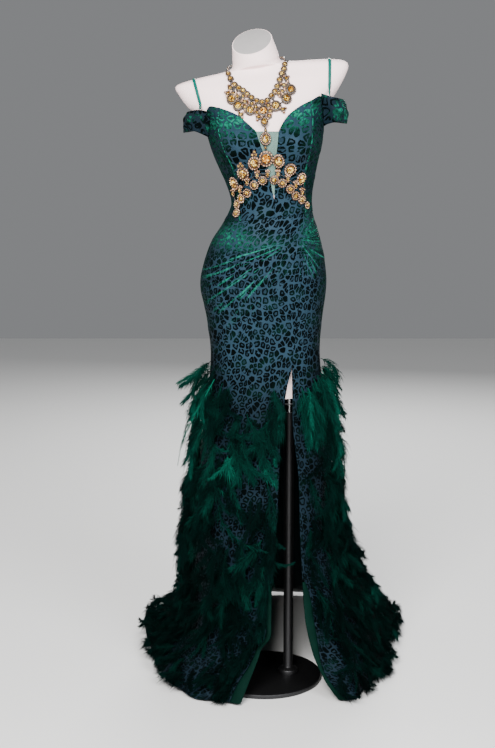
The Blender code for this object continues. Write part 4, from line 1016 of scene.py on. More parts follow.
def bodice():
    v = share_steps(BODICE_UP, 0.006)
    left_seam, right_seam = seam_line(PRINCESS_LEFT, v), seam_line(PRINCESS_RIGHT, v)
    left_centre = centre_line(CUP_LEFT[-1], MESH_BOWS[0], v)
    right_centre = centre_line(CUP_RIGHT[0], MESH_BOWS[1], v)
    u = share_steps(BODICE_ACROSS, 0.02)

    def curve(points):
        found = along_points(points, u)
        return np.stack(on_front(found[:, 0], found[:, 1]), -1)

    arm_left = stops_line([(0, -90, SIDE_TOP), (0.72, *on_front(*ARM_LEFT)),
                           (1, *on_front(*CUP_LEFT[0]))], u)
    arm_right = stops_line([(0, *on_front(*CUP_RIGHT[-1])), (0.28, *on_front(*ARM_RIGHT)),
                            (1, 90, SIDE_TOP)], u)

    def back_top(stops):
        turn = stops[0][0] + (stops[-1][0] - stops[0][0]) * u
        return np.stack([turn, eased(np.array(stops, float), turn)[:, 1]], -1)

    panels = (
        ("front_left", left_seam, left_centre, curve(CUP_LEFT), 0.0),
        ("front_right", right_centre, right_seam, curve(CUP_RIGHT), 0.4),
        ("side_front_left", side_line(-90, SIDE_TOP, v), left_seam, arm_left, 0.8),
        ("side_front_right", right_seam, side_line(90, SIDE_TOP, v), arm_right, 1.2),
        ("back_left", side_line(-180, BACK_TOP, v), side_line(-90, SIDE_TOP, v),
         back_top([(-180, BACK_TOP), (-BACK_ARM_TURN, BACK_ARM_LEVEL), (-90, SIDE_TOP)]), 1.6),
        ("back_right", side_line(90, SIDE_TOP, v), side_line(180, BACK_TOP, v),
         back_top([(90, SIDE_TOP), (BACK_ARM_TURN, BACK_ARM_LEVEL), (180, BACK_TOP)]), 2.0),
    )
    for name, left, right, top, shift in panels:
        bottom = level_at_waist(left[0, 0] + (right[0, 0] - left[0, 0]) * u)
        places = coons(left, right, bottom, top, u, v)
        side = "side" in name
        cloth_panel(f"bodice_cloth_{name}", f"bodice_{name}", places[..., 0], places[..., 1],
                    VELVET_BODICE, "lrb", shift, puckers=PUCKERS * side,
                    seam_glow=SEAM_GLOW_FRONT if "front" in name else SEAM_GLOW_BACK,
                    shade=SIDE_SHADE * side)

    coarse = np.linspace(0, 1, BODICE_ROWS + 1)[1:]
    left = centre_line(CUP_LEFT[-1], MESH_BOWS[0], coarse)
    right = centre_line(CUP_RIGHT[0], MESH_BOWS[1], coarse)
    middle = (left[0] + right[0]) / 2 + (0, MESH_RISE)
    left[0], right[0] = middle - (MESH_FOOT, 0), middle + (MESH_FOOT, 0)
    v = np.linspace(coarse[0], 1, MESH_UP)
    left, right = (np.stack([np.interp(v, coarse, edge[:, n]) for n in (0, 1)], -1)
                   for edge in (left, right))
    u = np.linspace(0, 1, MESH_ACROSS)
    places = left[:, None] * (1 - u[None, :, None]) + right[:, None] * u[None, :, None]
    base = gown(places[..., 0], places[..., 1])
    face = normals(gown, places[..., 0], places[..., 1])
    inner, outer = (base + face * out for out in MESH_FACES)
    cloth_piece("bodice_cloth_mesh", "bodice_mesh_panel", outer, inner,
                (NET, NET))


def slit_turn(level, side, inset=0.0):
    """Turn of the slit's edge, or of the front seam over it, moved off the slit by an inset."""
    edges = eased(SLIT, level)
    x = np.where(level >= SLIT_TOP, (edges[..., 1] + edges[..., 2]) / 2,
                 edges[..., 1] - inset if side == "left" else edges[..., 2] + inset)
    return turn_of(x, GOWN, level)


def facing_width(level, side):
    """How much of a facing shows beside the slit's edge."""
    found = eased(FACING, level)[..., 1 if side == "left" else 2]
    return np.where(level > FACING[-1, 0], 0.0, found)


def skirt_rows():
    return np.concatenate([
        [HEM, 0.008, 0.014], np.linspace(0.022, 0.10, 12), np.linspace(0.108, 0.84, 84),
        np.linspace(0.848, WAIST - 0.002, 78), [WAIST]])


# How the pattern is stretched on the skirt, round it and up it
SKIRT_PATTERN = (1.10, 0.88)
# Columns of a facing, how high it rolls, and its waves' radians for each metre of level
FACING_ACROSS = 7
FACING_ROLL = 0.0012
FACING_WAVES = 55


def skirt():
    level = skirt_rows()
    left_edge = slit_turn(level, "left", facing_width(level, "left"))
    right_edge = slit_turn(level, "right", facing_width(level, "right"))
    quarter = np.full_like(level, 90.0)
    panels = (
        ("front_left", -quarter, left_edge, 64, 3.0),
        ("front_right", right_edge, quarter, 30, 3.6),
        ("back_left", -2 * quarter, -quarter, 46, 4.2),
        ("back_right", quarter, 2 * quarter, 46, 4.8),
    )
    for name, left, right, columns, shift in panels:
        u = share_steps(columns, 0.006)
        turn = left[:, None] + (right - left)[:, None] * u
        cloth_panel(f"skirt_cloth_{name}", f"skirt_{name}", turn,
                    np.repeat(level[:, None], len(u), 1), VELVET_SKIRT, "lrt", shift,
                    scale=SKIRT_PATTERN)

    rows = level[level <= FACING[-1, 0]]
    for side in ("left", "right"):
        edge = slit_turn(rows, side)
        seam = slit_turn(rows, side, facing_width(rows, side))
        low, high = (seam, edge) if side == "left" else (edge, seam)
        u = np.linspace(0, 1, FACING_ACROSS)
        turn = low[:, None] + (high - low)[:, None] * u
        grid = np.repeat(rows[:, None], FACING_ACROSS, 1)
        base, face = gown(turn, grid), normals(gown, turn, grid)
        waves = np.sin(grid * FACING_WAVES) * u[None] * (1 - u[None]) * 2
        roll = FACING_ROLL * np.sin(np.pi * u)[None] + FACING_ROLL * waves
        outer = base + face * (WALL + 0.0004 + roll)[..., None]
        inner = base + face * 0.0002
        cloth_piece(f"slit_cloth_{side}", f"slit_facing_{side}", outer, inner,
                    (FACING_SATIN, FACING_SATIN))


# Sleeve bands and straps
# Points of a band's edges between its ends, and the turns and levels of its ends on the
# bodice: front top, front low, back top and back low
BAND_TOP = ((-0.164, -0.050, 1.469), (-0.189, -0.012, 1.464), (-0.187, 0.046, 1.462),
            (-0.163, 0.088, 1.456))
BAND_LOW = ((-0.174, -0.036, 1.419), (-0.198, 0.002, 1.415), (-0.194, 0.048, 1.416),
            (-0.167, 0.084, 1.418))
BAND_ENDS = np.array(((-46, 1.4780), (-74, 1.4120), (-127, 1.4320), (-112, 1.4050)))
BAND_CLEAR = 0.0030
BAND_RIGHT_RISE = 0.030
BAND_RIGHT_DEEP = 0.008
STRAP_WIDE = 0.0075
STRAP_X = {"left": (-0.158, -0.176), "right": (0.154, 0.156)}
STRAP_FOOT = 1.500
STRAP_CLEAR = 0.0012
STRAP_STEPS = 14
STRAP_THICK = 0.0011
STRAP_CROWN = 0.0004
# The form's shoulders lie between these levels
SHOULDER_LEVELS = (1.530, 1.590)
# A band's columns and rows, how far it swells between its ends, how much painted shade darkens
# its ground, and how high its gathers stand and sink
BAND_COLUMNS = 70
BAND_ROWS = 15
BAND_SWELL = 0.004
BAND_PAINTED_SHADE = 0.88
GATHERS_HIGH = 0.0016
GATHERS_LOW = -0.0008
# A band's ends are drawn to the bodice over this share of its length
BAND_END = 3 / 11


def band_points(side, rise, deep):
    """A band's inner points, rows from its low edge to its top, and its top edge."""
    ends = lifted(gown, side * BAND_ENDS[:, 0], BAND_ENDS[:, 1] + rise * 0.5,
                  np.full(4, WALL + BAND_CLEAR))
    placed = [np.array(run) * (side, 1, 1) + (0, 0, up)
              for run, up in ((BAND_TOP, rise), (BAND_LOW, rise - deep))]
    top = smooth_run(np.vstack([ends[:1], placed[0], ends[2:3]]), BAND_COLUMNS)
    low = smooth_run(np.vstack([ends[1:2], placed[1], ends[3:]]), BAND_COLUMNS)
    mids = (BAND_ENDS[[0, 2]] + BAND_ENDS[[1, 3]]) / 2
    seams = lifted(gown, side * mids[:, 0], mids[:, 1] + rise * 0.5,
                   np.full(2, WALL + BAND_CLEAR))
    share = np.linspace(0, 1, BAND_ROWS)[:, None, None]
    run = np.linspace(0, 1, BAND_COLUMNS)[None, :, None]
    points = low[None] + (top - low)[None] * share
    swell = BAND_SWELL * np.sin(np.pi * share) * np.sin(np.pi * run)
    points = points + np.concatenate([-side * swell, 0 * swell, 0 * swell], 2)
    for seam, end, from_end in ((seams[0], 0, run), (seams[1], -1, 1 - run)):
        proud = seam - (top[end] + low[end]) / 2
        fade = np.clip(1 - from_end / BAND_END, 0, 1)
        points = points + proud * np.sin(np.pi * share) * fade
    return points[:, ::-1] if side > 0 else points, top


def bands_and_straps():
    share = np.linspace(0, 1, BAND_ROWS)[:, None, None]
    run = np.linspace(0, 1, BAND_COLUMNS)[None, :, None]
    gathers = GATHERS_HIGH * (np.sin(run * 38 + share * 7) + np.sin(run * 23 - share * 9 + 1) + 0.6)
    gathers = (gathers * np.sin(np.pi * np.clip(share * 0.9 + 0.05, 0, 1)))[..., 0]
    sunk = np.maximum(gathers, GATHERS_LOW)
    for name, side, rise, deep in (("left", 1, 0.0, 0.0),
                                   ("right", -1, BAND_RIGHT_RISE, BAND_RIGHT_DEEP)):
        points, top = band_points(side, rise, deep)
        out = unit(np.cross(np.gradient(points, axis=1), np.gradient(points, axis=0)))
        outer = points + out * (WALL + sunk)[..., None]
        inner = points + out * sunk[..., None] * 0.8
        outward = np.clip(np.abs(outer[..., 0]) - 0.150, 0, 0.04) / 0.04
        # Painted sheen: green highlights on the gathers' crests and towards the outer side, most on
        # the right band, broken up by noise
        bright = (-0.18 + 0.30 * wave_noise(outer, 0.03, 21) + gathers * 80
                  + outward * (0.75 if side < 0 else 0.12))
        cloth_piece(f"sleeve_cloth_{name}", f"sleeve_band_{name}",
                    outer, inner, (VELVET_BODICE, LINING),
                    laid_out(outer) + (6.0 + side),
                    {"painted_sheen": np.clip(bright, 0, 1), "painted_shade": 0 * bright + BAND_PAINTED_SHADE})
        strap(name, top)


def ridge_level(x):
    """Level at which the form's shoulder is as wide as x."""
    low, high = SHOULDER_LEVELS
    for _ in range(30):
        middle = (low + high) / 2
        section = eased(FORM, middle)
        low, high = (middle, high) if section[3] > abs(x - section[1]) else (low, middle)
    return low


def strap(name, band_edge):
    """A satin ribbon from the band's front edge over the shoulder to its back edge."""
    low_x, high_x = STRAP_X[name]
    peak = ridge_level(high_x)
    share = np.sin(np.pi / 2 * np.arange(STRAP_STEPS) / STRAP_STEPS)
    level = STRAP_FOOT + (peak - STRAP_FOOT) * share
    x = low_x + (high_x - low_x) * share
    turn = np.concatenate([turn_of(x, FORM, level), [math.copysign(90, high_x)],
                           turn_of(x, FORM, level, True)[::-1]])
    level = np.concatenate([level, [peak], level[::-1]])
    path = lifted(body, turn, level, np.full(len(turn), STRAP_CLEAR))
    facing = normals(body, turn, level)
    half_way = len(band_edge) // 2
    ends = []
    for points in (band_edge[:half_way], band_edge[half_way:]):
        near = np.abs(points[:, 0] - low_x).argmin()
        ends.append(points[near] + (0, 0, 0.0006))
    path = np.vstack([ends[0], path, ends[1]])
    facing = np.vstack([facing[:1], facing, facing[-1:]])
    way = np.gradient(path, axis=0)
    across = unit(np.cross(way, facing))
    u = np.linspace(-0.5, 0.5, 6)
    crown = STRAP_CROWN * np.cos(u * np.pi)
    inner = path[:, None] + across[:, None] * (u * STRAP_WIDE)[None, :, None]
    outer = inner + facing[:, None] * (STRAP_THICK + crown)[None, :, None]
    cloth_piece(f"strap_cloth_{name}", f"strap_{name}", outer, inner,
                (STRAP_SATIN, STRAP_SATIN))


# Feathers
TIERS = (
    # level, rise at the sides, drop, stand off
    (0.790, 0.045, 0.165, 0.040),
    (0.690, 0.035, 0.170, 0.032),
    (0.592, 0.028, 0.170, 0.034),
    (0.494, 0.020, 0.170, 0.034),
    (0.396, 0.012, 0.170, 0.036),
    (0.300, 0.000, 0.165, 0.032),
    (0.206, 0.000, 0.150, 0.024),
)
# Patches of the front where the cloth shows between the plumes: x, z and half sizes
BARE = np.array((
    (-0.112, 0.717, 0.015, 0.070), (-0.050, 0.525, 0.050, 0.033), (0.022, 0.568, 0.020, 0.102),
    (-0.055, 0.422, 0.050, 0.041), (-0.150, 0.280, 0.022, 0.052), (-0.020, 0.260, 0.020, 0.063),
    (-0.188, 0.062, 0.040, 0.037), (0.114, 0.595, 0.034, 0.054), (0.121, 0.460, 0.025, 0.031),
    (0.142, 0.287, 0.017, 0.068), (0.000, 0.810, 0.090, 0.024), (-0.030, 0.745, 0.050, 0.062),
))


# Where the front plumes are brightest: x, z, half sizes and how much brighter
GLOW = np.array((
    (-0.030, 0.610, 0.045, 0.050, 0.26), (-0.125, 0.650, 0.035, 0.080, 0.14),
    (0.105, 0.690, 0.030, 0.070, 0.18), (-0.100, 0.560, 0.030, 0.060, 0.14),
    (0.060, 0.380, 0.060, 0.030, 0.12), (0.110, 0.360, 0.030, 0.050, 0.12),
    (-0.060, 0.330, 0.080, 0.030, 0.10), (-0.120, 0.110, 0.070, 0.040, 0.08),
))


# The front's points have a smaller y than this
FRONT_END = 0.10


def far_from(table, points):
    """Squared distance of points from each patch of a table, in the patch's half sizes."""
    x, z = points[..., None, 0], points[..., None, 2]
    return ((x - table[:, 0]) / table[:, 2]) ** 2 + ((z - table[:, 1]) / table[:, 3]) ** 2


def glow(points):
    """How much brighter plumes at points of the front are."""
    far = far_from(GLOW, points)
    return (GLOW[:, 4] * np.exp(-far)).sum(-1) * (points[..., 1] < FRONT_END)


def bare_share(points):
    """How deep points of the front lie in a bare patch, from 0 to 1."""
    return np.clip(1.5 - far_from(BARE, points).min(-1), 0, 1) * (points[..., 1] < FRONT_END)


FALL_STEP = 0.02


def fall_rate(turn, level):
    """Length of the surface for each metre of level, as it flattens towards the hem."""
    low = np.maximum(level - FALL_STEP, HEM)
    return np.linalg.norm(gown(turn, low + FALL_STEP) - gown(turn, low), axis=-1) / FALL_STEP


# How far past the frame's box a plume's tip may reach
PLUME_PROUD = 0.026


class Plumes:
    """Feather plumes in the surface's own coordinates: turn, level and distance out."""

    STATIONS = 9          # points along a shaft
    ROOT = 0.004          # a root's distance out
    BEND = 0.62           # how far plumes bend to the side, in radians
    KICKED = 0.50         # share of plumes whose tips kick out
    BARB_HALF = (0.00066, 0.00052)
    SHAFT_HALF = 0.0008
    TONE_HALF = 0.006     # half a barb's width in the tone map
    SPLAY = (1.10, 0.75, 0.30)     # a barb's angle at the root, its loss to the tip, spread
    REACHES = (0.35, 1.45)         # a barb's length, as a share of the plume's width
    RISES = (-0.3, 1.0)            # how far it stands up, as a share of the puff
    DROOPS = (0.10, 0.45)          # how far it hangs, as a share of its length
    LOWEST = 0.003
    SLIT_GAP = 0.010      # from the facing to the nearest plume

    def __init__(self, seed):
        self.rng = np.random.default_rng(seed)
        self.paths, self.sizes = [], []

    def grown(self, turn, level, length, lean, off, puff, tone, width, side):
        """Plumes that hang from roots. lean is the angle from straight down, in radians."""
        rng, count = self.rng, len(turn)
        s = np.linspace(0, 1, self.STATIONS)[None]
        bend = rng.normal(0, self.BEND, count)[:, None]
        angle = lean[:, None] + bend * s ** 1.5
        step = length[:, None] / (self.STATIONS - 1)
        across = np.cumsum(np.sin(angle) * step, 1)
        down = np.cumsum(np.cos(angle) * step, 1)
        rate = np.linalg.norm(gown(turn + 0.5, level) - gown(turn - 0.5, level), axis=-1)
        kicked = rng.random(count) < self.KICKED
        kick = np.where(kicked, rng.uniform(0.3, 1.0, count), 0)[:, None]
        out = self.ROOT + off[:, None] * (np.sin(np.pi * s ** 0.8 * 0.62) + kick * s ** 4 * 0.6)
        down = down - kick * length[:, None] * 0.10 * s ** 4
        fall = fall_rate(turn, level)
        level = level[:, None] - down / fall[:, None]
        turn = turn[:, None] + across / rate[:, None]
        rows = np.clip(level, HEM, None)
        edge = slit_turn(rows, side, facing_width(rows, side) + self.SLIT_GAP)
        turn = np.minimum(turn, edge) if side == "left" else np.maximum(turn, edge)
        self.paths.append(np.stack([turn, level, out], -1))
        self.sizes.append(np.stack([width, puff, tone], -1))

    def drawn(self, points, off, width, puff, tone):
        """One plume along x, z points of the front, off being its distances out."""
        run = smooth_run(points, self.STATIONS)
        turn, level = on_front(run[:, 0], run[:, 1])
        share = np.linspace(0, 1, self.STATIONS)
        out = self.ROOT + np.interp(share, np.linspace(0, 1, len(off)), off)
        self.paths.append(np.stack([turn, level, out], -1)[None])
        self.sizes.append(np.array([[width, puff, tone]]))

    def barbs(self, frames, sizes, pairs):
        """Barbs in pairs along shafts: corners, five for each barb, and their map."""
        rng, count = self.rng, len(frames)
        width, puff, tone = (sizes[:, n][:, None, None] for n in range(3))
        s = np.linspace(0.06, 1.0, pairs)[None, :, None]
        s = np.clip(s + rng.uniform(-0.4, 0.4, (count, pairs, 2)) / pairs, 0.02, 1.0)
        place = s * (self.STATIONS - 1)
        low = np.clip(place.astype(int), 0, self.STATIONS - 2)
        part = (place - low)[..., None, None]
        index = np.arange(count)[:, None, None]
        found = frames[index, low] * (1 - part) + frames[index, low + 1] * part
        root, down, out_side, out = (found[..., n, :] for n in range(4))
        sign = np.array((-1, 1))[None, None]
        angle_low, loss, spread = self.SPLAY
        splay = (angle_low - loss * s) + rng.normal(0, spread, s.shape)
        reach = width * np.sin(np.pi * np.clip(s * 0.80 + 0.14, 0, 1)) ** 0.6
        reach = reach * rng.uniform(*self.REACHES, s.shape)
        rise = puff * rng.uniform(*self.RISES, s.shape)
        droop = rng.uniform(*self.DROOPS, s.shape)
        line = []
        for t in (0.0, 0.55, 1.0):
            angle = (splay * (1 - 0.50 * t))[..., None]
            far = (reach * t)[..., None]
            point = root + far * (np.cos(angle) * down + sign[..., None] * np.sin(angle) * out_side)
            point = point + far * rise[..., None] * (1 - 0.5 * t) * out
            point[..., 2] -= reach * droop * t * t
            line.append(point)
        line = np.stack(line, -2)
        lean = (splay * 0.8)[..., None]
        edge = np.cos(lean) * out_side - sign[..., None] * np.sin(lean) * down
        half = np.array(self.BARB_HALF)[:, None]
        sides = [line[..., :2, :] + way_out * edge[..., None, :] * half for way_out in (-1, 1)]
        corners = np.concatenate([np.stack(sides, -2).reshape(*line.shape[:3], 4, 3),
                                  line[..., 2:, :]], -2).reshape(-1, 5, 3)
        tones = np.broadcast_to(tone + rng.normal(0, 0.06, s.shape), s.shape).reshape(-1, 1)
        # Painted shade and light along each barb: dark at the root and the tip, light between, and
        # lighter towards the plume's tip
        painted_shading = np.tile(np.array((0.15, 0.15, 1.0, 1.0, 0.25)), (len(corners), 1))
        painted_shading = painted_shading * 0.6 + (s.reshape(-1, 1) * 0.4)
        tone_sides = np.array((-1, 1, -1, 1, 0)) * self.TONE_HALF
        uv = np.stack([np.clip(tones + tone_sides, 0.01, 0.99), np.clip(painted_shading, 0.01, 0.99)], -1)
        return corners, uv.reshape(-1, 2)

    def shafts(self, spine, across, face, tones):
        """Flat shafts: their points, four point numbers for each face, and their map."""
        half = (self.SHAFT_HALF * (1.05 - np.linspace(0, 1, self.STATIONS)))[None, :, None]
        sides = [spine + way_out * half * across + face * 0.0004 for way_out in (-1, 1)]
        first = (np.arange(len(spine))[:, None] * self.STATIONS
                 + np.arange(self.STATIONS - 1)).ravel()
        bright = np.clip(np.repeat(tones, self.STATIONS - 1) + 0.04, 0, 0.97)
        # Shafts get the light end of the painted shading, and a tone a little lighter than their
        # plume's
        uv = np.stack([bright[:, None] + np.array((-1, 1, 1, -1)) * self.TONE_HALF,
                       np.tile(np.array((0.90, 0.90, 0.96, 0.96)), (len(bright), 1))], -1)
        return np.stack(sides, 2).reshape(-1, 3), first[:, None] * 2 + (0, 1, 3, 2), uv

    def object(self, name, material, pairs):
        """All the plumes as one mesh."""
        paths, sizes = np.concatenate(self.paths), np.concatenate(self.sizes)
        level = np.maximum(paths[..., 1], HEM + 0.004)
        spine = lifted(gown, paths[..., 0], level, WALL + paths[..., 2])
        way = unit(np.gradient(spine, axis=1))
        beside = np.exp(-((np.abs(paths[:, :1, :1]) - 90) / 40) ** 2) * 0.75
        face = normals(gown, paths[..., 0], level) * (1 - beside) + np.array((0, -1, 0)) * beside
        across = unit(np.cross(way, face))
        corners, barb_uv = self.barbs(np.stack([spine, way, across, face], 2), sizes, pairs)
        base = np.arange(len(corners))[:, None] * 5
        quads, tips = base + (0, 1, 3, 2), base + (2, 3, 4)
        shaft_points, shafts, shaft_uv = self.shafts(spine, across, face, sizes[:, 2])
        points = np.concatenate([corners.reshape(-1, 3), shaft_points])
        quads_all = np.concatenate([quads, shafts + 5 * len(corners)])
        uv = np.concatenate([barb_uv[quads].reshape(-1, 2), shaft_uv.reshape(-1, 2),
                             barb_uv[tips].reshape(-1, 2)])
        low_corner, high_corner = np.array(CAD_BOX) + ((-PLUME_PROUD,), (PLUME_PROUD,))
        points = np.clip(points, low_corner, high_corner)
        points[:, 2] = np.maximum(points[:, 2], self.LOWEST)
        return build(name, points, [quads_all, tips], [material],
                     smooth=True, maps={"Tone": uv, "OFBake": uv})


# Plumes that stand out on their own: x, z points, distances out, width, puff and tone
SINGLE = {
    "feathers_left_1": (
        (((-0.126, 0.836), (-0.150, 0.820), (-0.180, 0.796), (-0.210, 0.776)),
         (0.004, 0.024, 0.050, 0.074), 0.021, 0.3, 0.72),
        (((-0.127, 0.812), (-0.146, 0.782), (-0.172, 0.748), (-0.200, 0.722)),
         (0.004, 0.020, 0.042, 0.062), 0.018, 0.3, 0.66),
        (((-0.126, 0.829), (-0.148, 0.810), (-0.177, 0.784), (-0.205, 0.763)),
         (0.005, 0.023, 0.047, 0.070), 0.018, 0.2, 0.64),
        (((-0.126, 0.834), (-0.149, 0.816), (-0.178, 0.790), (-0.208, 0.770)),
         (0.003, 0.021, 0.045, 0.068), 0.020, 0.2, 0.60),
        (((-0.127, 0.808), (-0.145, 0.779), (-0.170, 0.745), (-0.197, 0.718)),
         (0.005, 0.019, 0.040, 0.059), 0.015, 0.2, 0.60),
        (((-0.112, 0.808), (-0.133, 0.730), (-0.157, 0.640), (-0.182, 0.552)),
         (0.014, 0.036, 0.047, 0.052), 0.017, 0.2, 0.92),
        (((-0.117, 0.803), (-0.142, 0.735), (-0.170, 0.668), (-0.196, 0.610)),
         (0.008, 0.024, 0.038, 0.046), 0.026, 0.4, 0.66),
        (((-0.100, 0.800), (-0.112, 0.740), (-0.124, 0.670), (-0.138, 0.600)),
         (0.004, 0.014, 0.020, 0.020), 0.026, 0.4, 0.58),
    ),
    "feathers_right_1": (
        (((0.134, 0.835), (0.148, 0.815), (0.164, 0.790), (0.178, 0.762)),
         (0.004, 0.016, 0.032, 0.044), 0.015, 0.3, 0.56),
        (((0.130, 0.820), (0.144, 0.796), (0.158, 0.772), (0.168, 0.760)),
         (0.004, 0.014, 0.026, 0.034), 0.014, 0.3, 0.50),
        (((0.122, 0.815), (0.132, 0.745), (0.146, 0.680), (0.158, 0.640)),
         (0.004, 0.018, 0.026, 0.026), 0.030, 0.4, 0.66),
        (((0.086, 0.792), (0.094, 0.745), (0.100, 0.690), (0.104, 0.650)),
         (0.004, 0.014, 0.018, 0.016), 0.034, 0.4, 0.72),
        (((0.080, 0.775), (0.086, 0.735), (0.094, 0.690), (0.100, 0.640)),
         (0.004, 0.010, 0.014, 0.012), 0.030, 0.4, 0.68),
        (((0.098, 0.790), (0.106, 0.740), (0.112, 0.690), (0.116, 0.640)),
         (0.004, 0.012, 0.016, 0.014), 0.034, 0.4, 0.70),
        (((0.110, 0.800), (0.118, 0.750), (0.124, 0.700), (0.130, 0.650)),
         (0.004, 0.014, 0.020, 0.016), 0.034, 0.4, 0.66),
    ),
    "feathers_left_6": (
        (((-0.008, 0.372), (0.020, 0.352), (0.050, 0.344), (0.066, 0.350)),
         (0.004, 0.012, 0.016, 0.016), 0.014, 0.3, 0.55),
    ),
    "feathers_left_5": (
        (((0.000, 0.440), (0.018, 0.415), (0.034, 0.396), (0.044, 0.388)),
         (0.004, 0.010, 0.014, 0.014), 0.014, 0.3, 0.50),
    ),
}


# Rows of plumes in a tier: how far down they start, share of the drop, spacing
TIER_ROWS = ((0.0, 1.0, 0.0135), (-0.034, 0.85, 0.0170), (-0.066, 0.75, 0.0170))
HEM_ROWS = (*TIER_ROWS, (-0.096, 0.70, 0.0170), (-0.126, 0.60, 0.0170), (-0.150, 0.50, 0.0170),
            (-0.170, 0.40, 0.0180))


# How plumes vary: spread of their roots in metres and of their lean in radians, and the
# least and the most of their length and stand off, as shares of the tier's, of width and
# of puff
ROOTS = 0.010
LEAN = 0.36
LENGTHS = (0.42, 1.00)
STANDS = (0.25, 0.95)
WIDTHS = (0.016, 0.030)
PUFFS = (0.2, 0.9)
# Roots stay this far from the slit's facing and over the hem. A plume is cut to the room
# below its root, or to the last value where the room is less
ROOTS_FROM_SLIT = 0.012
ROOTS_OVER_HEM = 0.014
LEAST_ROOM = 0.035
# Clumps of like plumes: about how many degrees one takes up, and how many a metre of level holds
CLUMP_TURN = 22
CLUMPS_A_METRE = 9
# Share of plumes left out: anywhere, more between clumps, and in a bare patch
LEFT_OUT = 0.10
LEFT_OUT_CLUMPS = 0.12
LEFT_OUT_BARE = 0.95
TONE_MIDDLE = 0.46
HEM_WIDTH = 0.80
# Pairs of barbs on a plume of the top tier, of the lowest and of the others
BARBS_TOP = 90
BARBS_HEM = 54
BARBS = 66


def hang_row(heap, number, side, seed, row):
    """One row of plumes of a tier, from the slit's edge to the centre back."""
    rng = heap.rng
    tier_level, rise, drop, off = TIERS[number]
    shift, share, gap = row
    edge = float(slit_turn(np.array(tier_level), side,
                           facing_width(np.array(tier_level), side) + ROOTS_FROM_SLIT))
    first, last = (-180.0, edge) if side == "left" else (edge, 180.0)
    turn = np.linspace(first, last, 400)
    level = tier_level + rise * np.sin(np.radians(turn)) ** 2 + shift
    run = lengths_along(gown(turn, level))
    count = int(run[-1] / gap)
    at = (np.arange(count) + rng.uniform(0.1, 0.9, count)) / count * run[-1]
    turn = np.interp(at, run, turn)
    level = (tier_level + rise * np.sin(np.radians(turn)) ** 2 + shift
             + rng.normal(0, ROOTS, count))
    length = drop * share * rng.uniform(*LENGTHS, count)
    level = np.maximum(level, HEM + ROOTS_OVER_HEM)
    room = (level - HEM - 0.006) * fall_rate(turn, level)
    length = np.minimum(length, np.maximum(room * 1.05, LEAST_ROOM))
    lean = rng.normal(0, LEAN, count)
    clump = wave_noise(np.stack([turn / CLUMP_TURN, level * CLUMPS_A_METRE], -1), 1.0, seed)
    middle, tip = gown(turn, level - length * 0.45), gown(turn, level - length * 0.9)
    hidden = np.maximum(bare_share(middle), bare_share(tip) * 0.8)
    keep = rng.random(count) > hidden * LEFT_OUT_BARE
    keep &= rng.random(count) > LEFT_OUT + LEFT_OUT_CLUMPS * (clump < -0.6)
    away = np.abs(turn)
    # Painted shade towards the hem: lower tiers are darker and the top tier lighter. Plumes near
    # the sides and at the back are made lighter too.
    tone = np.clip(TONE_MIDDLE + 0.18 * clump + rng.normal(0, 0.09, count)
                   + 0.10 * (number == 0) - 0.035 * number
                   + 0.08 * np.exp(-((away - 90) / 30) ** 2)
                   + 0.10 * (away > 120) + glow(middle), 0.05, 0.96)
    width = rng.uniform(*WIDTHS, count) * (HEM_WIDTH if number == len(TIERS) - 1 else 1.0)
    puff = rng.uniform(*PUFFS, count)
    stand = off * rng.uniform(*STANDS, count)
    chosen = (turn, level, length, lean, stand, puff, tone, width)
    heap.grown(*(a[keep] for a in chosen), side)


def feathers():
    """Seven tiers on each side, thickest near the top and thinner over the bare patches."""
    for number in range(len(TIERS)):
        hem_tier = number == len(TIERS) - 1
        for side in ("left", "right"):
            seed = 50 + 2 * number + (side == "left")
            heap = Plumes(seed)
            name = f"feathers_{side}_{number + 1}"
            for n, row in enumerate(HEM_ROWS if hem_tier else TIER_ROWS):
                hang_row(heap, number, side, seed + n, row)
            for single in SINGLE.get(name, ()):
                heap.drawn(*single)
            pairs = BARBS_HEM if hem_tier else BARBS_TOP if number == 0 else BARBS
            made = heap.object(f"plumes_{side}_{number + 1}", PLUME, pairs)
            take_place(made, name)


# Jewels

STONE_SIDES = 14
BACK_SIDES = 20
STUB_SIDES = 6
BAR_SIDES = 6
BAR_TONE = 0.4
# Where the small crystals of a rim stand, as a share of the stone's half size
RIM_SHARE = 0.82


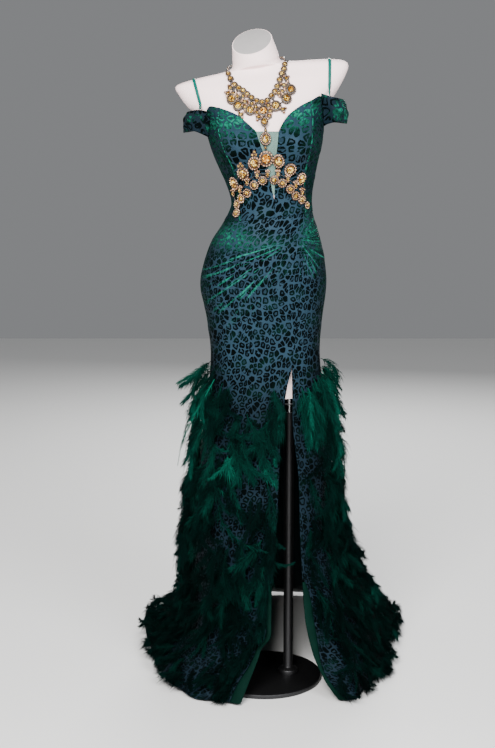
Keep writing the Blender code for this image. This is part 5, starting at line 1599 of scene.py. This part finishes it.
class Jewel(Heap):
    """Stones, crystals and bars that lie on a surface's front, gathered into one mesh."""

    def __init__(self, shape, rows, base, rim):
        """base is how far the backs stand off the surface, rim the slot of the rims."""
        super().__init__()
        self.shape, self.rows, self.base, self.rim = shape, rows, base, rim

    def seat(self, x, z):
        """Centre and the three ways of a place: right, up and out."""
        turn, level = on_front(x, z, self.rows)
        centre = lifted(self.shape, turn, level, np.array(self.base))
        out = normals(self.shape, turn, level)
        right = np.array((1.0, 0, 0)) - out * out[0]
        right /= np.linalg.norm(right)
        return centre, right, np.cross(out, right), out

    def bar(self, points, radius, count, lift=0.0010):
        """A round black bar that follows x, z points."""
        run = smooth_run(points, count)
        turn, level = on_front(run[:, 0], run[:, 1], self.rows)
        path = lifted(self.shape, turn, level, np.full(count, self.base + lift))
        self.add(*tube(path, radius, BAR_SIDES), BLACK_SLOT, BAR_TONE)

    def stub(self, seat, size, tall, slot, rng):
        """A small faceted crystal."""
        centre, right, up, out = seat
        angle = np.linspace(0, 2 * np.pi, STUB_SIDES, endpoint=False) + rng.uniform(0, 1)
        circle = np.outer(np.cos(angle), right) + np.outer(np.sin(angle), up)
        points = np.vstack([centre + circle * size, centre + circle * size + out * tall * 0.45,
                            centre + circle * size * 0.45 + out * tall])
        # Painted glints: random tones on the crystal's sides and a lighter top
        self.add(points, [grid_faces(3, STUB_SIDES, ring=True)], slot,
                 rng.beta(0.7, 0.8, 2 * STUB_SIDES))
        self.add(points[-STUB_SIDES:], [np.arange(STUB_SIDES)[None]], slot,
                 rng.uniform(0.5, 1.0))

    def gem(self, x, z, wide, high, deep, seed, crystals, bezel=0.62, lean=0, stone=AMBER_SLOT):
        """A cut stone in a ring of small crystals on a black backing.

        bezel is the stone's share of the whole width, lean how far the top leans left.
        """
        rng = np.random.default_rng(seed)
        centre, right, up, out = self.seat(x, z)
        cos, sin = math.cos(math.radians(lean)), math.sin(math.radians(lean))
        right, up = right * cos + up * sin, up * cos - right * sin

        def ring(count, share, height, turn=0.0):
            angle = np.linspace(0, 2 * np.pi, count, endpoint=False) + turn
            return (centre + np.outer(np.cos(angle), right) * wide / 2 * share
                    + np.outer(np.sin(angle), up) * high / 2 * share + out * height)

        sides = STONE_SIDES
        back = np.vstack([ring(BACK_SIDES, share, deep * height)
                          for share, height in ((0.94, 0.0), (0.98, 0.12), (0.90, 0.24))])
        back_low = np.arange(BACK_SIDES)
        self.add(back, [grid_faces(3, BACK_SIDES, ring=True), back_low[None, ::-1],
                        back_low[None] + 2 * BACK_SIDES], BLACK_SLOT, 0.3)
        rings = np.vstack([ring(sides, bezel, deep * 0.24), ring(sides, bezel, deep * 0.42),
                           ring(sides, bezel * 0.82, deep * 0.74, np.pi / sides),
                           ring(sides, bezel * 0.52, deep * 0.95)])
        low, mid, top = (np.arange(sides) + sides * n for n in (1, 2, 3))
        after = np.roll(np.arange(sides), -1)
        facets = np.concatenate([np.stack(corners, -1) for corners in (
            (low, low[after], mid), (low[after], mid[after], mid),
            (mid, mid[after], top[after]), (mid, top[after], top))])
        # Painted glints: each facet and each pair of the table's facets gets a random tone, from
        # dark to bright
        self.add(rings, [facets], stone, rng.beta(0.6, 0.8, len(facets)))
        self.add(rings, [grid_faces(2, sides, ring=True)], stone, 0.12)
        table = np.vstack([rings[top], [rings[top].mean(0) + out * deep * 0.03]])
        fan = np.stack([np.arange(sides), after, np.full(sides, sides)], -1)
        self.add(table, [fan], stone, np.repeat(rng.beta(0.8, 0.9, sides // 2), 2))
        for n in range(crystals):
            angle = 2 * np.pi * (n + 0.5) / crystals
            middle = (centre + right * math.cos(angle) * wide / 2 * RIM_SHARE
                      + up * math.sin(angle) * high / 2 * RIM_SHARE + out * deep * 0.22)
            size = min(np.pi * (wide + high) / 2 * RIM_SHARE / crystals * 0.43,
                       (wide + high) / 4 * 0.20)
            self.stub((middle, right, up, out), size, size * 1.2, self.rim, rng)

    def finish(self, name, node):
        take_place(self.object(name, JEWEL_MATERIALS), node)


# The crown's big stones: x, z, width, height and how far the top leans left, in degrees
CROWN_BIG = ((-0.0718, 1.2953, 0.0275, 0.0355, 35), (-0.0526, 1.3206, 0.0310, 0.0370, 12),
             (-0.0292, 1.3450, 0.0315, 0.0365, 0), (0.0008, 1.3544, 0.0370, 0.0415, 0),
             (0.0323, 1.3504, 0.0305, 0.0370, 0), (0.0580, 1.3308, 0.0300, 0.0350, -18),
             (0.0820, 1.3062, 0.0270, 0.0345, -26))
# Its small stones, and the drops between them and the big ones: x and z
CROWN_SMALL = ((-0.0660, 1.2190), (-0.0640, 1.2415), (-0.0553, 1.2576), (-0.0416, 1.2719),
               (-0.0262, 1.2910), (-0.0070, 1.3019), (0.0205, 1.3033), (0.0391, 1.2957),
               (0.0571, 1.2814), (0.0695, 1.2643), (0.0835, 1.2547), (0.0966, 1.2397))
CROWN_DROPS = ((-0.0733, 1.2714), (-0.0582, 1.2795), (-0.0428, 1.2987), (-0.0203, 1.3163),
               (0.0046, 1.3177), (0.0292, 1.3191), (0.0521, 1.3068), (0.0699, 1.2904),
               (0.0844, 1.2728))
# The necklace: stones of the collar as x and z, big stones of the bib with width and
# height, its small ones, and links from a collar stone to a big one, by number
COLLAR_STONES = ((-0.0897, 1.5533), (-0.0844, 1.5411), (-0.0750, 1.5269), (-0.0649, 1.5189),
                 (-0.0544, 1.5129), (-0.0448, 1.5049), (-0.0344, 1.4961), (-0.0215, 1.4881),
                 (-0.0091, 1.4854), (0.0037, 1.4889), (0.0142, 1.5008), (0.0222, 1.5111),
                 (0.0279, 1.5231), (0.0336, 1.5386), (0.0386, 1.5528), (0.0443, 1.5649),
                 (0.0462, 1.5764))
BIB_STONES = ((-0.0814, 1.4931, 0.0235, 0.0260), (-0.0661, 1.4763, 0.0235, 0.0260),
              (-0.0380, 1.4655, 0.0235, 0.0250), (-0.0060, 1.4643, 0.0270, 0.0270),
              (0.0241, 1.4762, 0.0245, 0.0265), (0.0495, 1.4941, 0.0235, 0.0260),
              (0.0600, 1.5159, 0.0230, 0.0250))
BIB_SMALL = ((-0.0851, 1.5194), (-0.0778, 1.5066), (-0.0681, 1.4986), (-0.0540, 1.4993),
             (-0.0508, 1.4858), (-0.0340, 1.4810), (-0.0240, 1.4730), (0.0061, 1.4770),
             (0.0108, 1.4635), (0.0311, 1.5064), (0.0391, 1.5111), (0.0436, 1.5259),
             (0.0497, 1.5414), (0.0412, 1.4675), (-0.0600, 1.4544), (-0.0500, 1.4723),
             (-0.0180, 1.4493), (0.0084, 1.4517), (-0.0903, 1.5063), (-0.0212, 1.4604))
BIB_LINKS = ((2, 0), (4, 1), (6, 2), (8, 3), (10, 4), (12, 5), (14, 6))

# The chain from the collar over the shoulders to the nape: x and level, then turn and levels
CLIMB_RIGHT = ((0.0465, 1.5690), (0.0460, 1.5730), (0.0450, 1.5760), (0.0435, 1.5775))
CLIMB_LEFT = ((-0.0888, 1.5765), (-0.0894, 1.5740), (-0.0898, 1.5710))
NAPE_TURN = 100
NAPE_LEVELS = (1.5785, 1.5800)
NAPE_CLEAR = 0.0045
CHAIN_RADIUS = 0.0013
CHAIN_STEPS = 60
# How far the backs of the jewels stand off the gown or the form
CROWN_BASE = WALL + 0.0034
PENDANT_BASE = WALL + 0.0047
NECKLACE_BASE = 0.0032
# The stone at the middle of the crown and of the bib is the orange one
MIDDLE_STONE = 3


def crown():
    jewel = Jewel(gown, GOWN, CROWN_BASE, ROSE_SLOT)
    for points in ((CROWN_SMALL[0], *CROWN_SMALL[2:10], CROWN_SMALL[11]),
                   (CROWN_SMALL[0], *(stone[:2] for stone in CROWN_BIG), CROWN_SMALL[11]),
                   (CROWN_SMALL[1], *CROWN_DROPS[:5]), (*CROWN_DROPS[5:], CROWN_SMALL[10])):
        jewel.bar(points, 0.0011, 46)
    for n, (x, z, wide, high, lean) in enumerate(CROWN_BIG):
        deep, stone = (0.0115, ORANGE_SLOT) if n == MIDDLE_STONE else (0.010, AMBER_SLOT)
        jewel.gem(x, z, wide, high, deep, 100 + n, 15, 0.58, lean, stone)
    for n, (x, z) in enumerate(CROWN_SMALL):
        size = 0.0185 if n == 11 else 0.0228
        jewel.gem(x, z, size, size, 0.0075, 130 + n, 12, 0.50)
    for n, (x, z) in enumerate(CROWN_DROPS):
        jewel.gem(x, z - 0.0012, 0.0095, 0.0165, 0.0060, 160 + n, 8, 0.60)
        rng = np.random.default_rng(190 + n)
        for dx, dz in ((-0.0042, 0.0070), (0.0042, 0.0070), (0.0, 0.0090)):
            jewel.stub(jewel.seat(x + dx, z + dz), 0.0030, 0.0048, ROSE_SLOT, rng)
    for n, (x, z) in enumerate(((-0.0600, 1.3400), (-0.0309, 1.3648))):
        for k, (dx, dz) in enumerate(((-0.0042, 0.0), (0.0042, 0.0), (0.0, 0.0062))):
            jewel.gem(x + dx, z + dz, 0.0082, 0.0082, 0.0052, 200 + 3 * n + k, 7, 0.55)
    jewel.finish("crown_jewels", "crown_ornament")


def pendant():
    jewel = Jewel(gown, GOWN, PENDANT_BASE, ROSE_SLOT)
    jewel.gem(-0.0011, 1.3988, 0.028, 0.034, 0.0105, 300, 18, 0.58)
    jewel.rim = SILVER_SLOT
    for n, (z, size) in enumerate(((1.3793, 0.0075), (1.4177, 0.0080), (1.4235, 0.0060))):
        jewel.gem(-0.0012, z, size, size, 0.0052, 310 + n, 7, 0.55)
    jewel.gem(-0.0040, 1.4370, 0.0200, 0.0245, 0.0090, 320, 14)
    links = ((-0.0011, 1.3735), (-0.0011, 1.3980), (-0.0030, 1.4200), (-0.0045, 1.4480))
    jewel.bar(links, 0.0013, 16, 0.0008)
    jewel.finish("pendant_jewels", "pendant_oval")


def chain_stops():
    """Turns and levels of the chain, from the collar's right end round to its left one."""
    stops = [on_front(*COLLAR_STONES[-1], FORM)]
    stops += [(turn_of(x, FORM, level), level) for x, level in CLIMB_RIGHT]
    share = np.linspace(0, 1, 9)
    stops += list(zip(NAPE_TURN + (360 - 2 * NAPE_TURN) * share,
                      NAPE_LEVELS[0] + (NAPE_LEVELS[1] - NAPE_LEVELS[0]) * np.sin(np.pi * share)))
    stops += [(360 + turn_of(x, FORM, level), level) for x, level in CLIMB_LEFT]
    end = on_front(*COLLAR_STONES[0], FORM)
    stops.append((360 + end[0], end[1]))
    return np.array(stops, float)


def necklace():
    jewel = Jewel(body, FORM, NECKLACE_BASE, SILVER_SLOT)
    for n, (x, z) in enumerate(COLLAR_STONES):
        size = 0.0172 if 0 < n < 16 else 0.0150
        jewel.gem(x, z, size, size, 0.0070, 400 + n, 10, 0.53)
    for n, (x, z, wide, high) in enumerate(BIB_STONES):
        stone = ORANGE_SLOT if n == MIDDLE_STONE else AMBER_SLOT
        jewel.gem(x, z, wide * 1.16, high * 1.16, 0.0090, 430 + n, 14, 0.57, stone=stone)
    rng = np.random.default_rng(480)
    for n, (x, z) in enumerate(BIB_SMALL):
        jewel.gem(x, z, 0.0140, 0.0140, 0.0058, 460 + n, 8, 0.48)
        for way in range(3):
            angle = rng.uniform(0, 1) + way * 2.1
            seat = jewel.seat(x + 0.0072 * math.cos(angle), z + 0.0072 * math.sin(angle))
            jewel.stub(seat, 0.0038, 0.0046, ROSE_SLOT, rng)
    jewel.bar(COLLAR_STONES, 0.0016, 60)
    jewel.bar([COLLAR_STONES[1], *(p[:2] for p in BIB_STONES), COLLAR_STONES[15]], 0.0018, 50)
    for a, b in BIB_LINKS:
        jewel.bar((COLLAR_STONES[a], BIB_STONES[b][:2]), 0.0026, 6)

    stops = chain_stops()
    run = lengths_along(body(stops[:, 0], stops[:, 1]))
    share = np.linspace(0, run[-1], CHAIN_STEPS)
    turn, level = (np.interp(share, run, stops[:, n]) for n in (0, 1))
    turn = np.where(turn > 180, turn - 360, turn)
    path = lifted(body, turn, level, np.full(CHAIN_STEPS, NAPE_CLEAR + 0.0010))
    jewel.add(*tube(path, CHAIN_RADIUS, BAR_SIDES), BLACK_SLOT, 0.5)
    out = normals(body, turn, level)
    rng = np.random.default_rng(490)
    for n in range(2, CHAIN_STEPS - 1):
        right = path[n] - path[n - 1]
        right /= np.linalg.norm(right)
        seat = path[n], right, np.cross(out[n], right), out[n]
        jewel.stub(seat, 0.0024, 0.0040, SILVER_SLOT, rng)
    jewel.finish("necklace_jewels", "necklace")


# Form and stand

# The form's points round, its rows up to the shoulders and over them, and its cut ends:
# their share of the last ring, and how far they stand out
FORM_SIDES = 96
FORM_ROWS = (110, 90)
SHOULDERS = 1.50
NECK_CUT = (0.965, 0.0006)
LOW_CUT = (0.98, 0.0004)


def form():
    sides = FORM_SIDES
    level = np.unique(np.concatenate([np.linspace(FORM_BOTTOM, SHOULDERS, FORM_ROWS[0]),
                                      np.linspace(SHOULDERS, FORM[-1, 0], FORM_ROWS[1])]))
    turn = np.linspace(-180, 180, sides, endpoint=False)
    points = body(turn[None], level[:, None])
    rows = len(level)
    low = points[0] * (0.985, 0.985, 1)
    centre_low, centre_high = points[0].mean(0), points[-1].mean(0)
    rise, drop = (0, 0, NECK_CUT[1]), (0, 0, LOW_CUT[1])
    rim_high = centre_high + (points[-1] - centre_high) * NECK_CUT[0] + rise
    rim_low = centre_low + (low - centre_low) * LOW_CUT[0] - drop
    verts = np.concatenate([points.reshape(-1, 3), rim_high, [centre_high + rise],
                            rim_low, [centre_low - drop]])
    first = rows * sides
    after = np.roll(np.arange(sides), -1)
    ring = np.arange(sides)
    last_row = (rows - 1) * sides
    faces = [grid_faces(rows, sides, ring=True),
             np.stack([last_row + ring, last_row + after, first + after, first + ring], -1)]
    top_cap = np.stack([first + ring, first + after, np.full(sides, first + sides)], -1)
    low_first = first + sides + 1
    faces.append(np.stack([low_first + ring, low_first + after, after, ring], -1))
    low_cap = np.stack([low_first + after, low_first + ring, np.full(sides, low_first + sides)], -1)
    slots = np.repeat((0, 1), (len(faces[0]) + 2 * sides, 2 * sides))
    made = build("form_body", verts, [*faces, top_cap, low_cap], [FORM_PAINT, FORM_CUT], slots)
    made.data.set_sharp_from_angle(angle=math.radians(40))
    take_place(made, "form_torso")


def turned(name, node, profile, x, material, sides=72):
    """A round piece from a profile of radius and height, low to high."""
    profile = np.array(profile)
    angle = np.linspace(0, 2 * np.pi, sides, endpoint=False)
    points = np.stack([x + profile[:, :1] * np.cos(angle), profile[:, :1] * np.sin(angle),
                       np.repeat(profile[:, 1:], sides, 1)], -1)
    rows = len(profile)
    made = build(name, points, [grid_faces(rows, sides, ring=True), np.arange(sides)[None, ::-1],
                                np.arange(sides)[None] + (rows - 1) * sides], [material])
    made.data.set_sharp_from_angle(angle=math.radians(35))
    take_place(made, node)


def stand():
    turned("base_disc", "stand_base",
           ((BASE_RADIUS - 0.002, 0.0), (BASE_RADIUS, 0.002), (BASE_RADIUS, 0.0085),
            (BASE_RADIUS - 0.001, 0.0108), (BASE_RADIUS - 0.0035, BASE_HIGH),
            (0.02, BASE_HIGH)), 0, DARK_STEEL, 120)
    top = FORM_BOTTOM - 0.045
    turned("pole_tube", "stand_pole",
           ((0.026, BASE_HIGH + 0.0003), (0.026, 0.022), (0.025, 0.0238), (0.022, 0.0252),
            (POLE_RADIUS + 0.001, 0.0292), (POLE_RADIUS, 0.031), (POLE_RADIUS, 0.36),
            (POLE_RADIUS, top - 0.0003)), POLE_X, DARK_STEEL)
    turned("form_collar", "stand_collar",
           ((0.0150, top), (0.016, top + 0.001), (0.016, FORM_BOTTOM - 0.027),
            (0.0225, FORM_BOTTOM - 0.021), (0.024, FORM_BOTTOM - 0.0195),
            (0.024, FORM_BOTTOM - 0.0015), (0.0232, FORM_BOTTOM - 0.0005)), POLE_X, STEEL)


# Stage, camera and lights

FLOOR_HALF = 6
SKY = (0.90, 0.92, 0.95, 1)
SKY_STRENGTH = 0.25
CAMERA_LENS = 63.53
CAMERA_PLACE = (-0.044, -3.30, 1.40)
CAMERA_TILT = 10.1          # degrees below level


def stage():
    points = np.array(((-1, -1, 0), (1, -1, 0), (1, 1, 0), (-1, 1, 0)), float) * FLOOR_HALF
    n = Nodes("pale_floor")
    n.set(color=(0.78, 0.78, 0.77), roughness=0.65, specular=0.2)
    floor = build("floor", points, [np.array([[0, 1, 2, 3]])], [n.material], smooth=False)
    world = bpy.context.scene.world or bpy.data.worlds.new("studio")
    bpy.context.scene.world = world
    world.use_nodes = True
    back = world.node_tree.nodes["Background"]
    back.inputs[0].default_value = SKY
    back.inputs[1].default_value = SKY_STRENGTH


def light(name, place, aim, size, power, colour=(1, 1, 1)):
    data = bpy.data.lights.new(name, "AREA")
    data.shape = "RECTANGLE"
    data.size, data.size_y = size
    data.energy = power
    data.color = colour
    made = bpy.data.objects.new(name, data)
    made.location = place
    made.rotation_euler = (Vector(aim) - Vector(place)).to_track_quat("-Z", "Y").to_euler()
    bpy.context.scene.collection.objects.link(made)


def camera():
    data = bpy.data.cameras.new("camera")
    data.sensor_width = 36.0
    data.sensor_fit = "AUTO"
    data.lens = CAMERA_LENS
    made = bpy.data.objects.new("camera", data)
    made.location = CAMERA_PLACE
    made.rotation_euler = (math.radians(90 - CAMERA_TILT), 0, 0)
    bpy.context.scene.collection.objects.link(made)
    bpy.context.scene.camera = made


stage()
camera()
light("key", (-0.7, -2.9, 2.7), (0, 0, 1.35), (1.4, 1.2), 290, (1.0, 0.985, 0.97))
light("fill", (1.5, -2.6, 2.1), (0, 0, 1.2), (1.4, 1.4), 110, (0.97, 0.98, 1.0))
light("rim_left", (-2.4, 0.8, 2.0), (0, 0, 1.0), (0.8, 1.8), 10)
light("rim_right", (2.4, 0.9, 2.0), (0, 0, 1.0), (0.8, 1.8), 10)
light("back", (0.6, 3.4, 2.6), (0, 0.2, 0.9), (1.8, 1.6), 130)

form()
stand()
bodice()
skirt()
bands_and_straps()
feathers()
crown()
pendant()
necklace()
